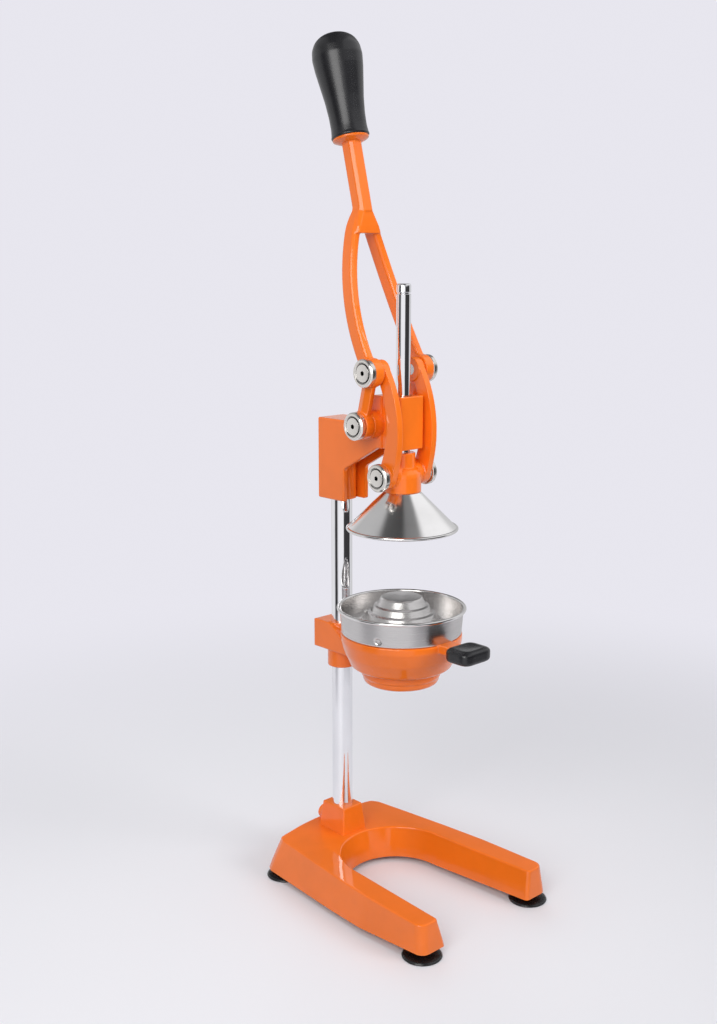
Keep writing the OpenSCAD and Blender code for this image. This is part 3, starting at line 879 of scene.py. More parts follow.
class Kit:
    """The press's materials and node tools."""

    def __init__(self) -> None:
        """Builds each material and node group once."""
        self.enamel = Finish(
            "orange_enamel", (0.92, 0.180, 0.008), roughness=0.38, roughness_spread=0.06,
            specular=0.2, mottle=0.05, mottle_scale=28.0, grain_scale=70.0, grain_depth=0.00005,
            coat=0.9, coat_roughness=0.035).material()
        self.chrome = Finish(
            "chrome", (0.86, 0.86, 0.88), metallic=1.0, roughness=0.05, roughness_spread=0.03,
            mottle=0.02, grain_scale=90.0, grain_depth=0.00010, stretch=(1.0, 1.0, 0.35)).material()
        # The cap's ring groove and hexagon socket get painted shade through the band and the cut faces
        self.cap = Finish(
            "cap_chrome", (0.76, 0.73, 0.69), metallic=1.0, roughness=0.22, roughness_spread=0.05,
            mottle=0.04, grain_scale=700.0, grain_depth=0.00001,
            painted_shade_band=(0.214, 0.228)).material()
        self.spun = Finish(
            "spun_steel", (0.60, 0.585, 0.575), metallic=1.0, roughness=0.25, roughness_spread=0.10,
            mottle=0.05, grain_scale=9.0, grain_depth=0.000012, stretch=(0.6, 260.0, 1.0),
            anisotropy=0.55, turned=True).material()
        self.polished = Finish(
            "polished_steel", (0.90, 0.89, 0.88), metallic=1.0, roughness=0.15, roughness_spread=0.06,
            mottle=0.04, grain_scale=7.0, grain_depth=0.000008, stretch=(0.6, 200.0, 1.0),
            anisotropy=0.25, turned=True).material()
        self.steel = Finish(
            "bright_steel", (0.58, 0.58, 0.59), metallic=1.0, roughness=0.28, roughness_spread=0.08,
            grain_scale=500.0, grain_depth=0.00001).material()
        self.rolled = Finish(
            "rolled_steel", (0.74, 0.73, 0.72), metallic=1.0, roughness=0.14, roughness_spread=0.02,
            grain_scale=20.0, grain_depth=0.000002).material()
        self.plastic = Finish(
            "black_plastic", (0.012, 0.012, 0.014), roughness=0.28, roughness_spread=0.05,
            mottle=0.15, mottle_scale=60.0, grain_scale=900.0, grain_depth=0.00003).material()
        self.rubber = Finish(
            "black_rubber", (0.007, 0.007, 0.008), roughness=0.26, roughness_spread=0.08,
            mottle=0.2, mottle_scale=120.0, grain_scale=700.0, grain_depth=0.00004).material()
        self.copies = CopiesOnPoints()
        self.beads = RolledBead()


def dress(obj: bpy.types.Object, finish: bpy.types.Material) -> bpy.types.Object:
    """Gives an object one material.

    Args:
        obj: The object.
        finish: The material.

    Returns:
        The same object.
    """
    obj.data.materials.clear()
    obj.data.materials.append(finish)
    return obj


def seat(obj: bpy.types.Object, body: str, slot: str, *nodes: str) -> bpy.types.Object:
    """Hands a finished piece to the frame.

    Args:
        obj: The piece.
        body: The CAD body that it rides on.
        slot: The record's material slot; not used.
        *nodes: CAD nodes that it stands for.

    Returns:
        The same piece.
    """
    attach(obj, body)
    if nodes:
        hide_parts(*nodes)
    return obj


# ---------- Base ----------


@dataclass
class Base:
    """U-shaped base casting with its column socket, and the four suction feet."""

    top: float = 34.4
    bottom: float = 4.4
    tip_bottom: float = 7.6
    edge: float = 1.8
    wall_rows: int = 4
    edge_rows: int = 4
    front: float = 190.0
    back: float = 33.0
    bay_reach: float = 78.0
    bay_radius: float = 54.0
    bay_draft: float = 6.0
    top_halves: tuple[float, ...] = (65.8, 80.6, 83.0)
    foot_halves: tuple[float, ...] = (77.5, 87.6, 84.2)
    leg_inner: float = 61.0
    front_draft: float = 3.5
    back_draft: float = 4.5
    lift_start: float = 95.0
    lift_length: float = 90.0
    socket_top: float = 60.4
    socket_half: Point = (12.3, 15.6)
    socket_depth: Point = (15.6, 18.0)
    screw_z: float = 40.8
    boss_radius: float = 7.0
    boss_start: float = 10.0
    boss_end: float = 29.5
    foot_radius: float = 18.0
    foot_top: float = 4.35
    foot_bore: float = 2.52
    feet: tuple[Point, ...] = ((71.5, -180.6), (65.0, 12.0))

    def outline(self, half: tuple[float, ...], reach: float, back: float, bay: float) -> list[Point]:
        """Closed outline of the U at one height.

        Args:
            half: Half widths at the rear corner, the swell and the tip.
            reach: Distance to the leg tips.
            back: Distance to the back edge.
            bay: Inward growth of the bay's wall.

        Returns:
            The outline, right leg first, with as many points at every height.
        """
        rear, swell, tip = half
        hollow = self.bay_radius - bay
        inner = self.leg_inner - bay
        right = [(0.0, back), (30.0, back - 3.0), (rear - 4.5, back - 9.5), (rear, back - 17.0),
                 (rear + 0.35 * (swell - rear), -25.0), (rear + 0.7 * (swell - rear), -70.0),
                 (swell, -118.0), (tip, -reach), (inner, -reach),
                 (hollow + 0.2, -self.bay_reach - 4.0)]
        radii = [150.0, 100.0, 6.0, 12.0, 300.0, 300.0, 120.0, 9.0, 4.0, 60.0]
        hook = arc((0.0, -self.bay_reach), hollow, 0, 180, 40)
        left = [(-x, y) for x, y in reversed(right[1:])]
        corners = right + hook + left
        rounds = radii + [0.0] * len(hook) + list(reversed(radii[1:]))
        return filleted(corners, rounds, closed=True, steps=6)

    def ring(self, share: float, shrink: float, z: float, lift: float) -> list[Vector]:
        """One ring of the casting's skin.

        Args:
            share: 0 at the top face, 1 at the lower edge.
            shrink: Distance that the ring is pulled in from the walls.
            z: Height of the ring.
            lift: How far the leg tips' part of the ring is raised.

        Returns:
            The ring in metres.
        """
        half = tuple(a + share * (b - a) for a, b in zip(self.top_halves, self.foot_halves))
        points = self.outline(half, self.front + self.front_draft * share,
                              self.back + self.back_draft * share, self.bay_draft * share)
        ring = []
        count = len(points)
        for i, (x, y) in enumerate(points):
            ahead = Vector(points[(i + 1) % count]) - Vector(points[i - 1])
            inward = Vector((ahead.y, -ahead.x)).normalized()
            spot = Vector((x, y)) + inward * shrink
            rise = lift * min(1.0, max(0.0, (-y - self.lift_start) / self.lift_length))
            ring.append(metres(spot.x, spot.y, z + rise))
        return ring

    def build(self) -> bpy.types.Object:
        """Builds the casting.

        Returns:
            The casting.
        """
        lift = self.tip_bottom - self.bottom
        height = self.top - self.bottom
        levels = [self.ring(1.0, 1.0, self.bottom, lift), self.ring(0.98, 0.0, self.bottom + 0.8, lift)]
        for i in range(1, self.wall_rows + 1):
            left = 1 - i / self.wall_rows
            share = 0.98 * left
            level = self.top - self.edge - share * (height - self.edge - 0.6)
            levels.append(self.ring(share + 0.04 * left, 0.0, level, lift * share))
        for i in range(1, self.edge_rows + 1):
            turn = math.radians(90 / self.edge_rows * i)
            levels.append(self.ring(0.0, self.edge * (1 - math.cos(turn)),
                                    self.top - self.edge * (1 - math.sin(turn)), 0.0))
        return crisp(loft("base_skin", levels), angle=40)

    def socket(self) -> bpy.types.Object:
        """Tapered socket and its screw boss.

        Returns:
            The socket as one closed shell.
        """
        low, high = self.top - 2.0, self.socket_top
        block = []
        for share in (0.0, 1.0):
            half = self.socket_half[1] + share * (self.socket_half[0] - self.socket_half[1])
            deep = self.socket_depth[1] + share * (self.socket_depth[0] - self.socket_depth[1])
            block.append([metres(sx * half, sy * deep, low + share * (high - low))
                          for sx, sy in ((-1, -1), (1, -1), (1, 1), (-1, 1))])
        shell = rounded_edges(loft("socket_block", block), width=1.4, angle=30, segments=3)
        ring = circle((0.0, self.screw_z), self.boss_radius, 48)
        boss = soft_plate("boss", ring, self.boss_start, self.boss_end, Axis.Y, edge=0.8)
        cut(shell, boss, union=True)
        cut(shell, disc("bore", (0, 0), COLUMN_BORE, 30.0, 70.0, Axis.Z, steps=96))
        shell.name = "base_socket"
        return crisp(shell, angle=35)

    def foot(self) -> bpy.types.Object:
        """One suction foot about the origin.

        Returns:
            The foot.
        """
        r, top, bore = self.foot_radius, self.foot_top, self.foot_bore
        profile = filleted(
            [(bore, top), (6.0, top), (9.5, 3.6), (13.5, 3.2), (r - 1.4, 2.4), (r, 0.9),
             (r - 0.5, 0.0), (r - 3.0, 0.0), (12.0, 0.9), (8.0, 1.6), (bore, 1.6), (bore, top)],
            [0, 0.5, 3, 4, 0.6, 0.4, 0.2, 0.4, 2, 0.5, 0, 0], steps=3)
        return revolve("foot", profile, ROW_ORIGIN, steps=64)

    def dress(self, kit: Kit) -> None:
        """Builds, paints and seats the base's pieces.

        Args:
            kit: The materials and node tools.
        """
        seat(dress(self.build(), kit.enamel), "frame", "orange_enamel", "base_casting")
        seat(dress(self.socket(), kit.enamel), "frame", "orange_enamel")
        foot = self.foot()
        places = [metres(side.value * x, y, 0) for x, y in self.feet for side in Side]
        feet = kit.copies.spread("feet", foot, places, [(0, 0, 0)] * 4, kit.rubber)
        discard(foot)
        seat(feet, "frame", "black_rubber", "foot_front_left", "foot_front_right",
             "foot_rear_left", "foot_rear_right")


@dataclass
class Column:
    """Chrome column."""

    radius: float = 10.0
    low: float = 13.0
    high: float = 440.0

    def dress(self, kit: Kit) -> None:
        """Builds, paints and seats the column.

        Args:
            kit: The materials and node tools.
        """
        r = self.radius
        stops = [self.low + 1 + i * (self.high - self.low - 2) / 24 for i in range(25)]
        profile = [(0, self.low), (r - 1, self.low)] + [(r, z) for z in stops]
        profile += [(r - 1, self.high), (0, self.high)]
        seat(dress(revolve("column_skin", profile, (0, 0), steps=128), kit.chrome),
             "frame", "chrome", "column")


# ---------- Head ----------


@dataclass
class Head:
    """Head casting: clamp on the column, gusset, guide block and fulcrum boss."""

    half: float = 16.0
    bottom: float = 370.5
    top: float = 447.0
    back: float = 15.5
    channel: float = 11.5
    channel_top: float = 432.0
    clamp: float = 14.0
    clamp_top: float = 434.0
    boss_radius: float = 12.8
    boss_half: float = 26.0
    bush_bore: float = 8.52
    bore_top: float = 441.0
    block_half: float = 14.5
    block_low: float = 426.0
    block_high: float = 473.6
    block_rear: float = 62.0
    block_front: float = 93.0

    def build(self) -> bpy.types.Object:
        """Builds the casting from bevelled plates, then cuts the channel and the bores.

        Returns:
            The casting.
        """
        side = [(self.back, self.bottom), (self.back, self.top), (-38, self.top),
                (-58, self.block_high), (-70, self.block_high), (-70, self.block_low),
                (-64, self.block_low), (-20.3, 401.5), (-20.3, self.bottom)]
        side = filleted(side, [1.6, 1.6, 6, 3, 1.6, 1.6, 3, 4, 1.6], closed=True, steps=4)
        body = soft_plate("head_body", side, -self.half, self.half, Axis.X, edge=1.3)
        channel = [(-7, self.bottom - 3), (-7, self.channel_top), (-61.9, self.channel_top),
                   (-66.5, self.block_low - 4), (-62, 400), (-21.5, self.bottom - 3)]
        channel = filleted(channel, [0, 4, 0, 0, 0, 0], closed=True, steps=4)
        cut(body, plate("channel", channel, -self.channel, self.channel, Axis.X))
        half, front, rear = self.block_half, -self.block_front, -self.block_rear
        block = filleted([(-half, front), (half, front), (half, rear), (-half, rear)], [1.8] * 4,
                         closed=True, steps=4)
        cut(body, soft_plate("block", block, self.block_low, self.block_high, Axis.Z, edge=1.3),
            union=True)
        cut(body, disc("clamp", (0, 0), self.clamp, self.bottom, self.clamp_top, Axis.Z, steps=96),
            union=True)
        ring = circle(FULCRUM, self.boss_radius, 96)
        cut(body, soft_plate("fulcrum_boss", ring, -self.boss_half, self.boss_half, Axis.X, edge=0.8),
            union=True)
        cut(body, disc("column_bore", (0, 0), COLUMN_BORE, self.bottom - 2, self.bore_top, Axis.Z, steps=96))
        cut(body, disc("bush_bore", PRESS_AXIS, self.bush_bore, self.block_low - 2,
                       self.block_high + 2, Axis.Z, steps=96))
        body.name = "head_skin"
        return crisp(body, angle=40)

    def dress(self, kit: Kit) -> None:
        """Builds, paints and seats the casting.

        Args:
            kit: The materials and node tools.
        """
        seat(dress(self.build(), kit.enamel), "frame", "orange_enamel", "head_casting")


# ---------- Lever ----------


@dataclass
class Lever:
    """Forked lever with its shaft and collar, and the black grip."""

    inner: float = 26.3
    outer: float = 36.0
    eye: float = 12.8
    arm_width: float = 14.6
    arm_thick: float = 8.6
    arm_bevel: float = 2.1
    arm_inset: float = 0.25
    arm_lead: float = 11.0
    arm_taper: float = 0.45
    arm_rows: int = 8
    arm_end: Place = (2.6, -26.9, 638.0)
    side_radius: float = 300.0
    front_radius: float = 380.0
    yoke: Place = (-28.6, 614.0, 16.9)
    root: Point = (-27.5, 640.0)
    lean: float = 14.0
    shaft_half: float = 7.7
    shaft_bevel: float = 3.2
    shaft_start: float = -8.0
    collar: tuple[Point, ...] = ((10.5, -4.4), (15.9, -2.0), (16.4, -1.4), (16.4, 0.2))
    grip_start: float = 59.4
    grip_length: float = 92.6
    bulb: float = 22.6
    waist: float = 16.3

    def arm(self) -> bpy.types.Object:
        """Right fork arm, swept with a bevelled bar section.

        Returns:
            The arm.
        """
        side = arc_through(TOP_PIN, self.yoke[:2], self.side_radius, 0, 30)
        rest = self.outer - self.arm_thick / 2 - self.arm_inset
        front = arc_through((rest, TOP_PIN[1] + 5), (self.yoke[2] - self.arm_thick / 2, self.yoke[1]),
                            self.front_radius, 0, 60)
        # The front view's arc gives x at each height of the side view's arc
        places = []
        for y, z in side:
            spot = next(((a, b) for a, b in zip(front, front[1:]) if a[1] <= z <= b[1]), None)
            x = rest if spot is None else spot[0][0] + (spot[1][0] - spot[0][0]) * (
                (z - spot[0][1]) / (spot[1][1] - spot[0][1]))
            places.append(metres(x if z < self.yoke[1] - 0.01 else front[-1][0], y, z))
        # From there the arm bends over into the shaft's root and tapers
        joint, top = places[-1], metres(*self.arm_end)
        bend = joint + (joint - places[-2]).normalized() * self.arm_lead / 1000
        scales = [1.0] * len(places)
        for i in range(1, self.arm_rows + 1):
            t = i / self.arm_rows
            places.append(joint.lerp(bend, t).lerp(bend.lerp(top, t), t))
            scales.append(1 - self.arm_taper * t * t)
        rings = []
        half_w, half_t, bevel = self.arm_width / 2000, self.arm_thick / 2000, self.arm_bevel / 1000
        section = [(-half_t, -half_w + bevel), (-half_t + bevel * 0.8, -half_w),
                   (half_t - bevel * 0.8, -half_w), (half_t, -half_w + bevel),
                   (half_t, half_w - bevel), (half_t - bevel * 0.8, half_w),
                   (-half_t + bevel * 0.8, half_w), (-half_t, half_w - bevel)]
        for i, place in enumerate(places):
            ahead = places[min(i + 1, len(places) - 1)] - places[max(i - 1, 0)]
            along = ahead.normalized()
            across = Vector((1, 0, 0)) - along * along.x
            across.normalize()
            deep = along.cross(across)
            rings.append([place + (across * u + deep * v) * scales[i] for u, v in section])
        return loft("arm", rings)

    def web(self) -> bpy.types.Object:
        """Short arm between the two eyes, with a ridge along its outer face.

        Returns:
            The web.
        """
        along = (Vector(TOP_PIN) - Vector(FULCRUM)).normalized()
        across = Vector((along.y, -along.x))
        rings = []
        for y, z in (FULCRUM, TOP_PIN):
            rings.append([metres(x, y + across.x * d, z + across.y * d) for x, d in (
                (self.inner + 1.2, -6.0), (self.inner + 0.7, 0.0), (self.inner + 1.2, 6.0),
                (self.outer - 3.4, 6.6), (self.outer - 1.2, 0.0), (self.outer - 3.4, -6.6))])
        return loft("web", rings)

    def build(self) -> bpy.types.Object:
        """Builds the fork, the yoke, the shaft and the collar as one casting.

        Returns:
            The casting.
        """
        shells = []
        for side in Side:
            shells.append(mirrored(self.arm(), side))
            shells.append(mirrored(self.web(), side))
            for pivot in (FULCRUM, TOP_PIN):
                eye = disc("eye", pivot, self.eye, self.inner, self.outer, Axis.X, steps=96)
                shells.append(mirrored(eye, side))
        y, z, foot = self.yoke
        levels = ((foot - 1.6, -2.6, 7.4, z + 0.5, 2.0), (foot - 3.4, -2.0, 7.5, z + 7, 2.2),
                  (10.4, -0.7, 7.6, z + 15, 2.8), (8.3, 0.3, 7.5, z + 21, 3.2),
                  (7.4, 1.0, 7.4, self.root[1], 3.4))
        rings = []
        for half, back, deep, level, bevel in levels:
            corners = [(half - bevel, deep), (half, deep - bevel)]
            corners += [(x, -y) for x, y in reversed(corners)]
            corners += [(-x, -y) for x, y in corners]
            rings.append([metres(x, y + back + dy, level) for x, dy in corners])
        shells.append(loft("yoke", rings))
        shells.append(self.shaft())
        body = joined("lever_skin", shells)
        cast(body, voxel=0.6, rounds=7)
        return cut(body, disc("axle_bore", FULCRUM, AXLE_BORE, -40, 40, Axis.X, steps=64))

    def shaft(self) -> bpy.types.Object:
        """Octagonal shaft and the collar under the grip.

        Returns:
            The two as closed shells in one object.
        """
        half, bevel = self.shaft_half, self.shaft_bevel
        outline = [(bevel - half, -half), (half - bevel, -half), (half, bevel - half),
                   (half, half - bevel), (half - bevel, half), (bevel - half, half),
                   (-half, half - bevel), (-half, bevel - half)]
        lean = math.radians(self.lean)

        def place(x: float, y: float, along: float) -> Vector:
            """Place in the shaft's own frame, in metres.

            Args:
                x: Millimetres to the right.
                y: Millimetres behind the shaft's axis.
                along: Millimetres up the axis.

            Returns:
                The place.
            """
            return metres(x, self.root[0] + y * math.cos(lean) + along * math.sin(lean),
                          self.root[1] - y * math.sin(lean) + along * math.cos(lean))

        ends = (self.shaft_start, self.grip_start - 3)
        bar = loft("bar", [[place(x, y, at) for x, y in outline] for at in ends])
        rings = []
        for radius, at in self.collar:
            rings.append([place(x, y, self.grip_start + at) for x, y in circle((0, 0), radius, 72)])
        return joined("shaft", [bar, loft("collar", rings)])

    def grip(self) -> bpy.types.Object:
        """Moulded grip with a swollen end.

        Returns:
            The grip.
        """
        length, bulb, waist = self.grip_length, self.bulb, self.waist
        corners = [(7.1, 0.0), (waist + 0.2, 0.0), (waist + 1.0, 1.0), (waist + 0.4, 3.2),
                   (waist - 0.2, 9.0), (waist, 20.0), (waist + 1.3, 34.0), (waist + 3.4, 48.0),
                   (bulb - 0.9, length - 31.0), (bulb, length - 21.0), (bulb - 0.9, length - 13.0),
                   (bulb - 4.0, length - 6.6), (bulb - 9.5, length - 2.2), (bulb - 16.0, length - 0.3),
                   (0.0, length)]
        profile = filleted(corners, [0, 0.4, 1.2, 8, 40, 80, 80, 80, 30, 14, 12, 14, 20, 20, 0], steps=5)
        grip = revolve("grip_skin", profile, ROW_ORIGIN, steps=96)
        spot = metres(0, self.root[0] + self.grip_start * math.sin(math.radians(self.lean)),
                      self.root[1] + self.grip_start * math.cos(math.radians(self.lean)))
        grip.data.transform(Matrix.Translation(spot) @ Matrix.Rotation(math.radians(-self.lean), 4, "X"))
        return grip

    def dress(self, kit: Kit) -> None:
        """Builds, paints and seats the lever's pieces.

        Args:
            kit: The materials and node tools.
        """
        seat(dress(self.build(), kit.enamel), "lever", "orange_enamel", "lever_fork")
        seat(dress(self.grip(), kit.plastic), "lever", "black_plastic", "lever_grip")


# ---------- Links ----------


@dataclass
class Links:
    """The two bowed links, and the chrome caps on every pin."""

    inner: float = 17.3
    outer: float = 25.7
    thick: float = 6.4
    eye: float = 11.0
    bow_radius: float = 98.0
    back_radius: float = 90.0
    washer: float = 1.6
    fulcrum_cap_start: float = 36.3
    top_cap_start: float = 36.0
    cap_radius: float = 12.5
    cap_thick: float = 5.7
    cap_socket: float = 2.3

    def build(self, side: Side) -> bpy.types.Object:
        """Builds one link.

        Args:
            side: Its side.

        Returns:
            The link.
        """
        edge = self.inner + (self.outer - self.inner - self.thick) / 2
        front = arc_through(TOP_PIN, LOW_PIN, self.bow_radius, self.eye)
        back = arc_through((TOP_PIN[0] + 1.5, TOP_PIN[1]), (LOW_PIN[0] + 8, LOW_PIN[1]),
                           self.back_radius, 0)
        shells = [plate("bow", front + back[::-1], edge, edge + self.thick, Axis.X)]
        for centre in (TOP_PIN, LOW_PIN):
            shells.append(disc("eye", centre, self.eye, self.inner, self.outer, Axis.X, steps=80))
        body = cast(joined("link_skin", shells), voxel=0.42, rounds=4)
        for centre, radius in ((TOP_PIN, TOP_PIN_BORE), (LOW_PIN, LOW_PIN_BORE)):
            cut(body, disc("bore", centre, radius, self.inner - 2, self.outer + 2, Axis.X, steps=64))
        body.name = "link_skin_" + side.name.lower()
        return mirrored(body, side)

    def cap(self) -> bpy.types.Object:
        """One cap about the origin, its face along +Z, with a ring groove and a hexagon socket.

        Returns:
            The cap.
        """
        r, h = self.cap_radius, self.cap_thick
        ring = 0.70 * r
        profile = filleted(
            [(0, 0), (r - 0.4, 0), (r, 0.5), (r, h - 1.3), (r - 1.3, h), (ring + 0.8, h),
             (ring + 0.2, h - 1.0), (ring - 0.6, h - 1.0), (ring - 1.0, h - 0.15), (0, h - 0.15)],
            [0, 0.2, 0.2, 0.5, 0.5, 0.25, 0.2, 0.2, 0.25, 0], steps=3)
        cap = revolve("cap", profile, ROW_ORIGIN, steps=96)
        return cut(cap, disc("socket", ROW_ORIGIN, self.cap_socket, h - 3.0, h + 1.0, Axis.Z, steps=6))

    def dress(self, kit: Kit) -> None:
        """Builds, paints and seats the links and the caps.

        Args:
            kit: The materials and node tools.
        """
        for side in Side:
            name = side.name.lower()
            seat(dress(self.build(side), kit.enamel), name + "_link", "orange_enamel", "link_" + name)
        cap = self.cap()
        quarter = math.pi / 2
        low_start = self.outer + self.washer
        jobs = (("fulcrum_caps", "frame", FULCRUM, self.fulcrum_cap_start, tuple(Side), "fulcrum_cap_"),
                ("top_caps", "lever", TOP_PIN, self.top_cap_start, tuple(Side), "top_cap_"),
                ("link_cap_l", "left_link", LOW_PIN, low_start, (Side.LEFT,), "link_cap_"),
                ("link_cap_r", "right_link", LOW_PIN, low_start, (Side.RIGHT,), "link_cap_"))
        for name, body, (y, z), start, sides, node in jobs:
            places = [metres(side.value * start, y, z) for side in sides]
            turns = [(0.0, side.value * quarter, 0.0) for side in sides]
            caps = kit.copies.spread(name, cap, places, turns, kit.cap)
            seat(caps, body, "chrome", *[node + side.name.lower() for side in sides])
        discard(cap)


# ---------- Rod, hub and cone ----------


@dataclass
class Press:
    """Press rod, hub and cone."""

    rod_radius: float = 6.45
    rod_low: float = 409.0
    rod_top: float = 571.3
    hub_radius: float = 17.0
    hub_neck: float = 11.5
    boss_radius: float = 11.0
    hub_top: float = 423.0
    hub_bottom: float = 387.4
    cone_rim: float = 51.0
    cone_neck: float = 16.5
    cone_height: float = 35.2
    cone_bead: float = 1.5
    cone_bore: float = 4.02
    cone_sheet: float = 1.3

    def rod(self) -> bpy.types.Object:
        """Rod with a groove under its tip.

        Returns:
            The rod.
        """
        r, top = self.rod_radius, self.rod_top
        stops = [self.rod_low + i * (top - 12 - self.rod_low) / 16 for i in range(17)]
        profile = [(0, self.rod_low)] + [(r, z) for z in stops]
        profile += [(r, top - 9.2), (r - 0.3, top - 9.0), (r - 0.8, top - 8.8), (r - 0.8, top - 7.6),
                    (r - 0.3, top - 7.4), (r, top - 7.1), (r, top - 1.4), (r - 0.4, top - 0.5),
                    (r - 1.3, top), (0, top)]
        return revolve("rod_skin", profile, PRESS_AXIS, steps=96)

    def hub(self) -> bpy.types.Object:
        """Hub with its cross boss.

        Returns:
            The hub.
        """
        z = LOW_PIN[1]
        profile = filleted(
            [(0, self.hub_bottom), (self.hub_radius, self.hub_bottom), (self.hub_radius, z - 1),
             (self.hub_radius - 0.8, z + 2.4), (self.hub_radius - 3, z + 5.4), (self.hub_neck, z + 7),
             (self.hub_neck, self.hub_top), (0, self.hub_top)], [0, 0.6, 2, 3, 2, 1.5, 0.8, 0], steps=4)
        body = revolve("hub_turned", profile, PRESS_AXIS, steps=96)
        boss = disc("cross_boss", LOW_PIN, self.boss_radius, -self.hub_radius, self.hub_radius,
                    Axis.X, steps=80)
        hub = cast(joined("hub_skin", [body, boss]), voxel=0.42, rounds=4)
        cut(hub, disc("bore", PRESS_AXIS, self.rod_radius + 0.02, self.rod_low, 430, Axis.Z, steps=64))
        cut(hub, disc("pin_bore", LOW_PIN, LOW_PIN_BORE, -20, 20, Axis.X, steps=48))
        return hub

    def cone(self) -> bpy.types.Object:
        """Spun cone.

        Returns:
            The cone without its bead.
        """
        top, rim = self.hub_bottom, self.hub_bottom - self.cone_height
        foot = self.cone_rim - self.cone_bead
        bore, inside = self.cone_bore, top - self.cone_sheet
        corners = [(bore, top), (self.cone_neck, top), (foot - 1.0, rim + 3.0), (foot, rim + 2.2),
                   (foot - 0.6, rim + 1.5), (foot - 2.2, rim + 2.6), (self.cone_neck - 1.1, inside),
                   (bore, inside), (bore, top)]
        profile = filleted(corners, [0, 1.2, 1.5, 0, 0, 1.5, 0.8, 0, 0], steps=5)
        return revolve("cone_skin", profile, PRESS_AXIS, steps=160)

    def dress(self, kit: Kit) -> None:
        """Builds, paints and seats the pieces.

        Args:
            kit: The materials and node tools.
        """
        seat(dress(self.rod(), kit.chrome), "press", "chrome", "press_rod")
        seat(dress(self.hub(), kit.enamel), "press", "orange_enamel", "press_hub")
        seat(dress(self.cone(), kit.polished), "press", "satin_steel", "press_cone")
        rim = self.hub_bottom - self.cone_height
        bead = kit.beads.sweep("cone_bead", self.cone_rim - self.cone_bead, self.cone_bead,
                           metres(*PRESS_AXIS, rim + self.cone_bead), kit.rolled)
        seat(bead, "press", "satin_steel")


# ---------- Cup and reamer ----------


@dataclass
class Cup:
    """Strainer cup with its rolled rim, dimples and drain holes, and the stepped reamer."""

    rim_z: float = 280.6
    floor_z: float = 255.8
    radius: float = 57.0
    foot: float = 55.4
    bead: float = 1.6
    sheet: float = 1.2
    reamer_top: float = 289.8
    hole: float = 33.0
    skirt: float = 48.7
    skirt_depth: float = 5.0
    drains: int = 14
    drain_radius: float = 2.0
    drain_reach: float = 43.9
    drain_step: float = 5.4
    dimple_turn: float = 67.0
    dimple_height: float = 6.0
    dimple_radius: float = 3.7
    dimple_depth: float = 2.8

    def wall(self) -> bpy.types.Object:
        """Cup wall and floor, dented by the three dimples.

        Returns:
            The cup without its bead.
        """
        z, rim, t = self.floor_z, self.rim_z - self.bead, self.sheet
        low = z - self.skirt_depth
        corners = [(self.hole, z), (self.skirt - t, z), (self.skirt - t, low), (self.skirt, low),
                   (self.skirt, z), (self.foot - 1.2, z), (self.foot, z + 1.4)]
        corners += [(self.foot + (self.radius - self.foot) * i / 28, z + 1.4 + (rim - z - 1.4) * i / 28)
                    for i in range(1, 29)]
        corners += [(self.radius - t, rim), (self.foot - t, z + t + 1), (self.foot - t - 1, z + t),
                    (self.hole, z + t), (self.hole, z)]
        cup = revolve("cup_skin", corners, PRESS_AXIS, steps=360)
        for turn in (0, 120, 240):
            angle = math.radians(turn - 90 - self.dimple_turn)
            level = z + self.dimple_height
            spot = metres(self.foot * math.cos(angle), PRESS_AXIS[1] + self.foot * math.sin(angle), level)
            axis = metres(*PRESS_AXIS, level)
            for vert in cup.data.vertices:
                gap = (vert.co - spot).length * 1000
                if gap < self.dimple_radius and vert.co.z > (z + t + 0.1) / 1000:
                    push = self.dimple_depth * (0.5 + 0.5 * math.cos(math.pi * gap / self.dimple_radius))
                    vert.co += (axis - vert.co).normalized() * push / 1000
        return cup

    def drain_cutter(self, kit: Kit) -> bpy.types.Object:
        """Two rings of round cutters for the drain holes.

        Args:
            kit: The materials and node tools.

        Returns:
            The cutters as one object.
        """
        peg = disc("peg", ROW_ORIGIN, self.drain_radius, -1.5, 3.0, Axis.Z, steps=20)
        places = []
        for ring in (0, 1):
            for i in range(self.drains):
                angle = math.tau * (i + ring / 2) / self.drains
                reach = self.drain_reach - self.drain_step * ring
                places.append(metres(reach * math.cos(angle), PRESS_AXIS[1] + reach * math.sin(angle),
                                     self.floor_z))
        cutter = kit.copies.spread("pegs", peg, places, [(0, 0, 0)] * len(places), kit.spun)
        discard(peg)
        return cutter

    def reamer(self) -> bpy.types.Object:
        """Stepped dome.

        Returns:
            The reamer.
        """
        t, floor = self.reamer_top, self.floor_z + self.sheet
        corners = [(0, t), (18.0, t - 0.5), (19.4, t - 1.8), (22.6, t - 7.6), (25.6, t - 8.6),
                   (28.2, t - 13.8), (31.2, t - 14.8), (34.2, t - 20.9), (36.8, t - 21.9),
                   (38.6, floor + 1.6), (39.6, floor + 1.2), (40.0, floor + 1.1), (40.0, floor + 0.05)]
        inner = [(max(0.0, r - 1.0), z - 1.2) for r, z in reversed(corners[:9])]
        outer = filleted(corners, [0, 1.5, 1.5, 1.0, 0.8, 1.0, 0.8, 1.0, 0.8, 0.6, 0, 0, 0], steps=4)
        return revolve("reamer_skin", outer + [(37.6, floor + 0.05)] + inner, PRESS_AXIS, steps=160)

    def dress(self, kit: Kit) -> None:
        """Builds, paints and seats the pieces.

        Args:
            kit: The materials and node tools.
        """
        wall = cut(self.wall(), self.drain_cutter(kit))
        seat(dress(smooth(wall, angle=45), kit.spun), "frame", "satin_steel", "strainer_cup")
        bead = kit.beads.sweep("cup_bead", self.radius + 1.0, self.bead,
                           metres(*PRESS_AXIS, self.rim_z - self.bead), kit.rolled)
        seat(bead, "frame", "satin_steel")
        seat(dress(self.reamer(), kit.spun), "frame", "satin_steel", "reamer")


# ---------- Holder ----------


